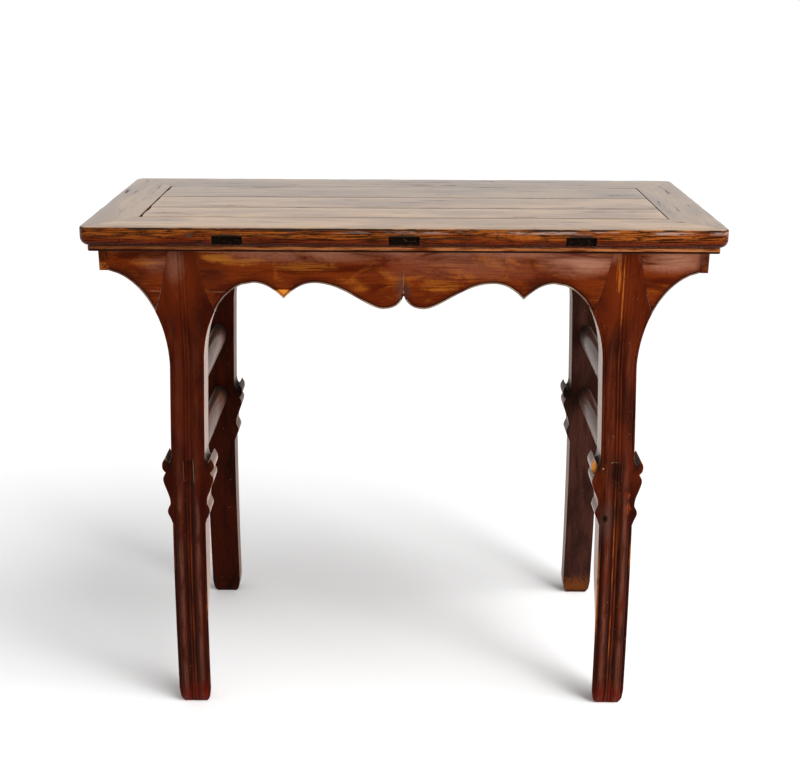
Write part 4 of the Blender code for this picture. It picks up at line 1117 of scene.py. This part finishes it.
def lacquerFinish(name, grain, look, shift):
    finish = newFinish(name)
    look = {**lacquer, **look}
    pattern = lambda key, along=grain: grainMottle(along, shift, *lacquerGrain[key])
    cloud, streak, deep = pattern("cloud"), pattern("streak"), look["deep"]
    colour = lay(deep, look["red"], between(cloud, look["deepShare"] - 0.13, look["deepShare"] + 0.15))
    patch = plus(pattern("patch"), times(streak, 0.2))
    colour = lay(colour, look["amber"], between(patch, 0.74 - look["amberShare"], 1.00 - look["amberShare"]))
    # the crests of the cushions and beads are painted paler: wear and a painted highlight
    colour = lay(colour, look["rubbedHighlight"], painted("crest"), between(pattern("crestPatches"), 0.3, 0.6), look["rubbedHighlightShare"])
    colour = lay(colour, deep, between(streak, 0.50, 0.34), look["streakShare"])
    colour = lay(colour, deep, between(pattern("fine"), 0.5, 0.35), look["fineShare"])
    colour = lay(colour, deep, painted("shade"), look["shadeShare"])
    stain = between(mottle(objectPlace(), *look["stain"]), 0.63, 0.70)
    colour = lay(colour, look["shade"], stain, look["stainShare"])
    colour = lay(colour, look["bare"], painted("wear"), between(pattern("wearing"), 0.34, 0.50))
    colour = addMarks(colour, look["marks"], look, streak, cloud)
    # small pale dashes along the grain: painted glints, with a slight dent in the bump
    nickGlint = between(pattern("nickGlint", 'X'), 0.705, 0.745)
    colour = lay(colour, look["pale"], nickGlint, look["nickGlintShare"])
    # the sides are painted a paler warm brown, partly a painted reflection; the same sides get the coat
    faded = times(between(streak, 0.30, 0.62), look["sideSheenShare"])
    colour = lay(colour, look["flank"], painted("flank"), faded)
    colour = lay(colour, look["glint"], painted("glint"))
    # dark in hollows, grooves, the hooks' clefts and where stretchers meet the legs: dirt and painted shade
    colour = lay(colour, look["dirtAndShade"], painted("grimeAndShade"))
    height = minus(plus(times(pattern("dents"), 0.9), times(streak, 0.3)), times(nickGlint, 0.3))
    dress(look, colour, unevenGloss(*look["gloss"]), height, times(painted("flank"), look["flankCoat"]))
    return finish


# elm of the top: amber edge, brown top under a polish

elm = {
    "amber": (0.265, 0.067, 0.0088), "brown": (0.110, 0.019, 0.0030), "line": (0.010, 0.0018, 0.0007),
    "redShade": (0.026, 0.0024, 0.0006), "lowRed": (0.115, 0.0105, 0.0014), "lip": (0.25, 0.086, 0.029),
    "lipShadeLeft": 0.7, "lipLightRight": 1.55, "knot": (0.05, 0.03, 0.022), "crack": (0.020, 0.013, 0.009),
    "top": (0.268, 0.151, 0.062), "topDark": (0.144, 0.072, 0.028), "shine": (0.33, 0.26, 0.235),
    "ior": 1.18, "glossTint": (1.0, 0.50, 0.30), "gloss": (0.18, 0.36), "topGloss": (0.36, 0.54), "bump": 0.0007,
    "sheen": 0.18, "sheenRough": 0.14, "sheenTint": (1.0, 0.90, 0.80), "topCoat": 0.86, "coatRough": 0.28,
    "fineShare": 0.6, "darkShare": 0.7, "hairShare": 0.75, "crackShare": 0.9, "lowRedShare": 0.85,
    "boldShare": 0.60, "streakShare": 0.92, "redShadeShare": 0.92, "pitShare": 0.8, "shineShare": 0.6,
}
topGrain = {  # the same order of values as the lacquer's
    "wide": (0.20, 3, 0.050, 4.0, 0.55, 0.5), "streak": (0.07, 0, 0.009, 5.0, 0.66),
    "fine": (0.025, 7, 0.0024, 3.0, 0.6), "crackle": (0.075, 9, 0.0085, 5.0, 0.70),
    "hair": (0.035, 11, 0.0045, 3.0, 0.6),
}
edgeGrain = {
    "streak": (0.035, 0, 0.0017, 4.0, 0.70, 0.3), "bold": (0.035, 1, 0.0042, 4.0, 0.62, 0.8),
    "wide": (0.1, 2, 0.013, 4.0, 0.6, 0.4), "pits": (0.35, 12, 0.0024, 2.0, 0.5),
    "rub": (0.15, 6, 0.007, 3.0, 0.6), "gleam": (0.10, 8, 0.006, 4.0, 0.70),
}
edgeBands = {  # heights between which a band of the edge fades in
    "lowRed": (0.8210, 0.8135), "redShade": (0.8120, 0.8060), "lip": (0.8006, 0.7999), "foot": (0.7962, 0.7950),
    "top": (0.8288, 0.8297), "coat": (0.8285, 0.8296), "arris": (0.8262, 0.8278), "arrisEnd": (0.8299, 0.8296),
    "shine": (0.8215, 0.8240), "shineEnd": (0.8272, 0.8258),
}


def topColour(grain, shift, tone):  # worn brown top with thin dark streaks along the grain
    pale, dark = ([c * tone for c in elm[key]] for key in ("top", "topDark"))
    pattern = lambda key: grainMottle(grain, shift, *topGrain[key])
    wide, streak = pattern("wide"), pattern("streak")
    colour = lay(dark, pale, between(wide, 0.40, 0.60))
    colour = lay(colour, dark, between(pattern("fine"), 0.52, 0.36), elm["fineShare"])
    colour = lay(colour, [c * 0.5 for c in dark], between(streak, 0.44, 0.36), elm["darkShare"])
    crackle = times(between(pattern("crackle"), 0.395, 0.362), between(wide, 0.66, 0.50))
    hair = times(between(pattern("hair"), 0.375, 0.335), elm["hairShare"])
    crackle = reckon('MAXIMUM', crackle, hair)
    return lay(colour, elm["crack"], crackle, elm["crackShare"]), streak, crackle


def topShine(colour):  # worn lacquer shines, cracks and seams don't
    grey = addNode('RGBToBW', {0: colour}).outputs[0]
    return times(between(grey, 0.018, 0.045), elm["topCoat"])


def edgeFinish(name, grain, shift, marks, tone):
    finish = newFinish(name)
    x, z = axisOf('X'), axisOf('Z')
    pattern = lambda key: grainMottle(grain, shift, *edgeGrain[key])
    band = lambda key, level=z: between(level, *edgeBands[key])
    streak, wide = pattern("streak"), pattern("wide")
    level = plus(z, times(wide, 0.006))
    colour = lay(elm["brown"], elm["amber"], between(wide, 0.36, 0.56))
    colour = lay(colour, elm["lowRed"], band("lowRed", level), elm["lowRedShare"])
    colour = lay(colour, elm["line"], between(pattern("bold"), 0.46, 0.40), elm["boldShare"])
    colour = lay(colour, elm["line"], between(streak, 0.515, 0.45), elm["streakShare"])
    colour = lay(colour, elm["redShade"], band("redShade", level), elm["redShadeShare"])
    colour = lay(colour, elm["line"], between(pattern("pits"), 0.36, 0.31), elm["pitShare"])
    # the lip is painted darker to the left and paler to the right: painted shade and painted light
    left, right = ([c * elm[key] for c in elm["lip"]] for key in ("lipShadeLeft", "lipLightRight"))
    lip = lay(lay(left, right, between(x, -0.42, -0.12)), elm["brown"], between(streak, 0.56, 0.40))
    colour = lay(colour, lip, band("lip"))
    # a dark line along the lip's underside: a painted shadow
    colour = lay(colour, elm["line"], band("foot", plus(z, times(streak, 0.0012))))
    above, topStreak, crackle = topColour(grain, shift + 4, tone)
    colour = lay(colour, above, band("top"))
    arris = times(band("arris"), band("arrisEnd"))
    colour = lay(colour, elm["crack"], times(arris, between(pattern("rub"), 0.40, 0.56)))
    # a pale broken line on the rounded arris, stronger to the right: a painted highlight
    shine = times(band("shine"), band("shineEnd"), between(pattern("gleam"), 0.44, 0.54))
    colour = lay(colour, elm["shine"], shine, between(x, -0.30, 0.25), elm["shineShare"])
    colour = addMarks(colour, marks, elm, streak, wide)
    height = minus(plus(times(streak, 0.6), times(topStreak, 0.2)), times(crackle, 0.4))
    onTop = band("coat")
    gloss = plus(unevenGloss(*elm["gloss"]), times(onTop, elm["topGloss"][0] - elm["gloss"][0]))
    dress(elm, colour, gloss, height, times(onTop, topShine(colour)))
    return finish


def panelFinish(name, shift, marks, tone):
    finish = newFinish(name)
    colour, streak, crackle = topColour('X', shift, tone)
    colour = addMarks(colour, marks, elm, streak, streak)
    height = minus(times(streak, 0.4), times(crackle, 0.5))
    dress(elm, colour, unevenGloss(*elm["topGloss"]), height, topShine(colour))
    return finish


bareWood = {
    "pale": (0.16, 0.085, 0.04), "dark": (0.05, 0.024, 0.012), "endGrain": (0.0045, 0.0026, 0.0017),
    "rough": 0.6, "bump": 0.0008, "ior": 1.06, "glossTint": (1.0, 0.8, 0.7), "coatRough": 0.1,
    "sheen": 0.0, "sheenRough": 0.3, "sheenTint": (1.0, 1.0, 1.0),
    "streak": (0.03, 2.0, 0.003, 4.0, 0.6), "rings": (0.4, 7.0, 0.003, 3.0, 0.6),
}


def bareFinish(name):
    finish = newFinish(name)
    streak = grainMottle('Y', 0.0, *bareWood["streak"])
    rings = grainMottle('X', 0.0, *bareWood["rings"])
    colour = lay(bareWood["dark"], bareWood["pale"], between(streak, 0.35, 0.65))
    ends = lay(bareWood["endGrain"], bareWood["dark"], between(rings, 0.58, 0.72))
    colour = lay(colour, ends, between(reckon('ABSOLUTE', axisOf('Y')), 0.2, 0.215))
    dress(bareWood, colour, bareWood["rough"], streak)
    return finish


railMarks = marksAt(
    -halfDepth, 0.012, *[("crack", 0.95, x, 0.8188, 0.0215, 0.0021, 0.5) for x in battenPlaces],
    ("knot", 0.9, -0.3235, 0.8185, 0.0040, 0.0036, 0.6), ("crack", 0.5, -0.2050, 0.8190, 0.0300, 0.0010, 0.6),
    ("crack", 0.6, 0.0650, 0.8150, 0.0450, 0.0009, 0.6))
seamMarks = cracksOnTop(
    (0.95, 0.1200, -0.1420, 0.300, 0.0030, 0.6), (0.95, 0.2950, -0.1420, 0.085, 0.0050, 0.35),
    (0.55, -0.3000, -0.1422, 0.110, 0.0018, 0.9), (0.75, 0.1000, frontSeam, 0.300, 0.0034, 0.9),
    (0.75, -0.3450, frontSeam, 0.050, 0.0034, 0.6), (0.55, 0.2300, rearSeam, 0.150, 0.0024, 0.9))
panelMarks = seamMarks + cracksOnTop(
    (0.6, -0.2875, -0.1326, 0.022, 0.005, 1.2), (0.6, -0.0064, -0.1005, 0.020, 0.0035, 1.0))


def giveFinish(finish, *pieces):
    for piece in pieces:
        piece.data.materials.clear()
        piece.data.materials.append(finish)


print("finishes")
# the last number paints the top paler on the front pieces and darker on the rear ones: painted light and shade
giveFinish(edgeFinish("frontEdgeElm", 'X', 0.0, railMarks, 1.50), frontRail)
giveFinish(edgeFinish("rearEdgeElm", 'X', 5.0, [], 0.85), rearRail)
giveFinish(edgeFinish("sideEdgeElm", 'Y', 1.7, [], 1.0), leftRail, rightRail)
giveFinish(panelFinish("frontPanelElm", 0.4, panelMarks, 1.45), frontBoard)
giveFinish(panelFinish("middlePanelElm", 3.3, seamMarks, 1.25), middleBoard)
giveFinish(panelFinish("rearPanelElm", 6.1, seamMarks, 0.90), rearBoard)
giveFinish(bareFinish("bareElm"), *battens)
giveFinish(lacquerFinish("leftLegLacquer", 'Z', leftLegLook, 1.3), frontLeft)
giveFinish(lacquerFinish("rightLegLacquer", 'Z', legLook, 0.0), frontRight)
giveFinish(lacquerFinish("rearLeftLacquer", 'Z', shadedRearLegLook, 8.0), rearLeft)
giveFinish(lacquerFinish("rearRightLacquer", 'Z', shadedGreyRearLegLook, 9.0), rearRight)
giveFinish(lacquerFinish("apronLacquer", 'X', apronLook, 2.0), frontApron, rearApron)
giveFinish(lacquerFinish("endApronLacquer", 'Y', apronLook, 4.0), leftEnd, rightEnd)
giveFinish(lacquerFinish("stretcherLacquer", 'Y', stretcherLook, 6.0), *stretchers)


# floor, lights and surroundings

studio = {
    "floor": (0.96, 0.96, 0.96), "floorSize": 14.0, "floorDrop": 0.0002, "floorRough": 0.9, "fill": 0.51,
    "sun": 2.28, "sunSpread": 45.0, "sunFrom": (0.50, -0.31, 0.81),
    "frontPower": 28.1, "frontSize": (0.7, 1.3), "frontPlace": (1.7, -1.5, 0.7), "frontAim": (0.0, -0.1, 0.4),
}


def makeFloor():
    freshStart()
    bpy.ops.mesh.primitive_plane_add(size=studio["floorSize"], location=(0, 0, -studio["floorDrop"]))
    floor = named("studioFloor")
    bpy.ops.object.transform_apply(location=True)
    finish = newFinish("paleFloor")
    shader, pale = tree.nodes["Principled BSDF"], studio["floor"]
    faint = [c * 0.995 for c in pale]
    feed(shader.inputs['Base Color'], lay(pale, faint, mottle(objectPlace(), 0.8, 2.0, 0.5)))
    shader.inputs['Roughness'].default_value = studio["floorRough"]
    shader.inputs['Specular IOR Level'].default_value = 0.0
    giveFinish(finish, floor)


def aimed(name, kind, place, aim):
    lamp = bpy.data.objects.new(name, bpy.data.lights.new(name, kind))
    lamp.location = place
    lamp.rotation_euler = (Vector(aim) - Vector(place)).to_track_quat('-Z', 'Y').to_euler()
    bpy.context.scene.collection.objects.link(lamp)
    return lamp


def makeLights():
    sun = aimed("softSun", 'SUN', Vector(studio["sunFrom"]) * 3, (0, 0, 0)).data
    sun.energy = studio["sun"]
    sun.angle = math.radians(studio["sunSpread"])
    lamp = aimed("frontPanel", 'AREA', studio["frontPlace"], studio["frontAim"])
    lamp.data.shape = 'RECTANGLE'
    lamp.data.size, lamp.data.size_y = studio["frontSize"]
    lamp.data.energy = studio["frontPower"]
    lamp.visible_camera = False
    lamp.visible_glossy = False  # no white patch on the polished top


def makeSurroundings():
    global tree
    world = bpy.data.worlds.new("paleStudio")
    bpy.context.scene.world = world
    world.use_nodes = True
    tree = world.node_tree
    tree.nodes.clear()
    path = addNode('LightPath').outputs
    seen = reckon('MAXIMUM', path['Is Camera Ray'], path['Is Glossy Ray'])
    seen = reckon('MAXIMUM', seen, path['Is Transmission Ray'])
    strength = reckon('MULTIPLY_ADD', seen, 1 - studio["fill"], studio["fill"])
    back = addNode('Background', {'Color': (1, 1, 1), 'Strength': strength})
    addNode('OutputWorld', {'Surface': back.outputs['Background']})


print("floor and light")
makeFloor()
makeLights()
makeSurroundings()


# camera at the photo's place

cameraSet = {
    "place": (-0.00495, -2.0456, 1.20324), "yaw": -0.00003, "pitch": 0.33183, "roll": -0.00497,
    "focal": 1228.94, "pictureWidth": 800, "sensor": 36.0,
}


def placeCamera():
    yaw, pitch, roll = cameraSet["yaw"], cameraSet["pitch"], cameraSet["roll"]
    ahead = Vector((math.sin(yaw) * math.cos(pitch), math.cos(yaw) * math.cos(pitch), -math.sin(pitch)))
    right = Vector((math.cos(yaw), -math.sin(yaw), 0))
    down = ahead.cross(right)
    turnedRight = math.cos(roll) * right + math.sin(roll) * down
    turnedDown = -math.sin(roll) * right + math.cos(roll) * down
    spin = Matrix((turnedRight, -turnedDown, -ahead)).transposed()
    data = bpy.data.cameras.new("photoCamera")
    data.sensor_width = cameraSet["sensor"]
    data.lens = cameraSet["focal"] / cameraSet["pictureWidth"] * cameraSet["sensor"]
    camera = bpy.data.objects.new("photoCamera", data)
    camera.matrix_world = Matrix.Translation(cameraSet["place"]) @ spin.to_4x4()
    bpy.context.scene.collection.objects.link(camera)
    bpy.context.scene.camera = camera


placeCamera()
bpy.context.scene.view_settings.view_transform = 'Standard'
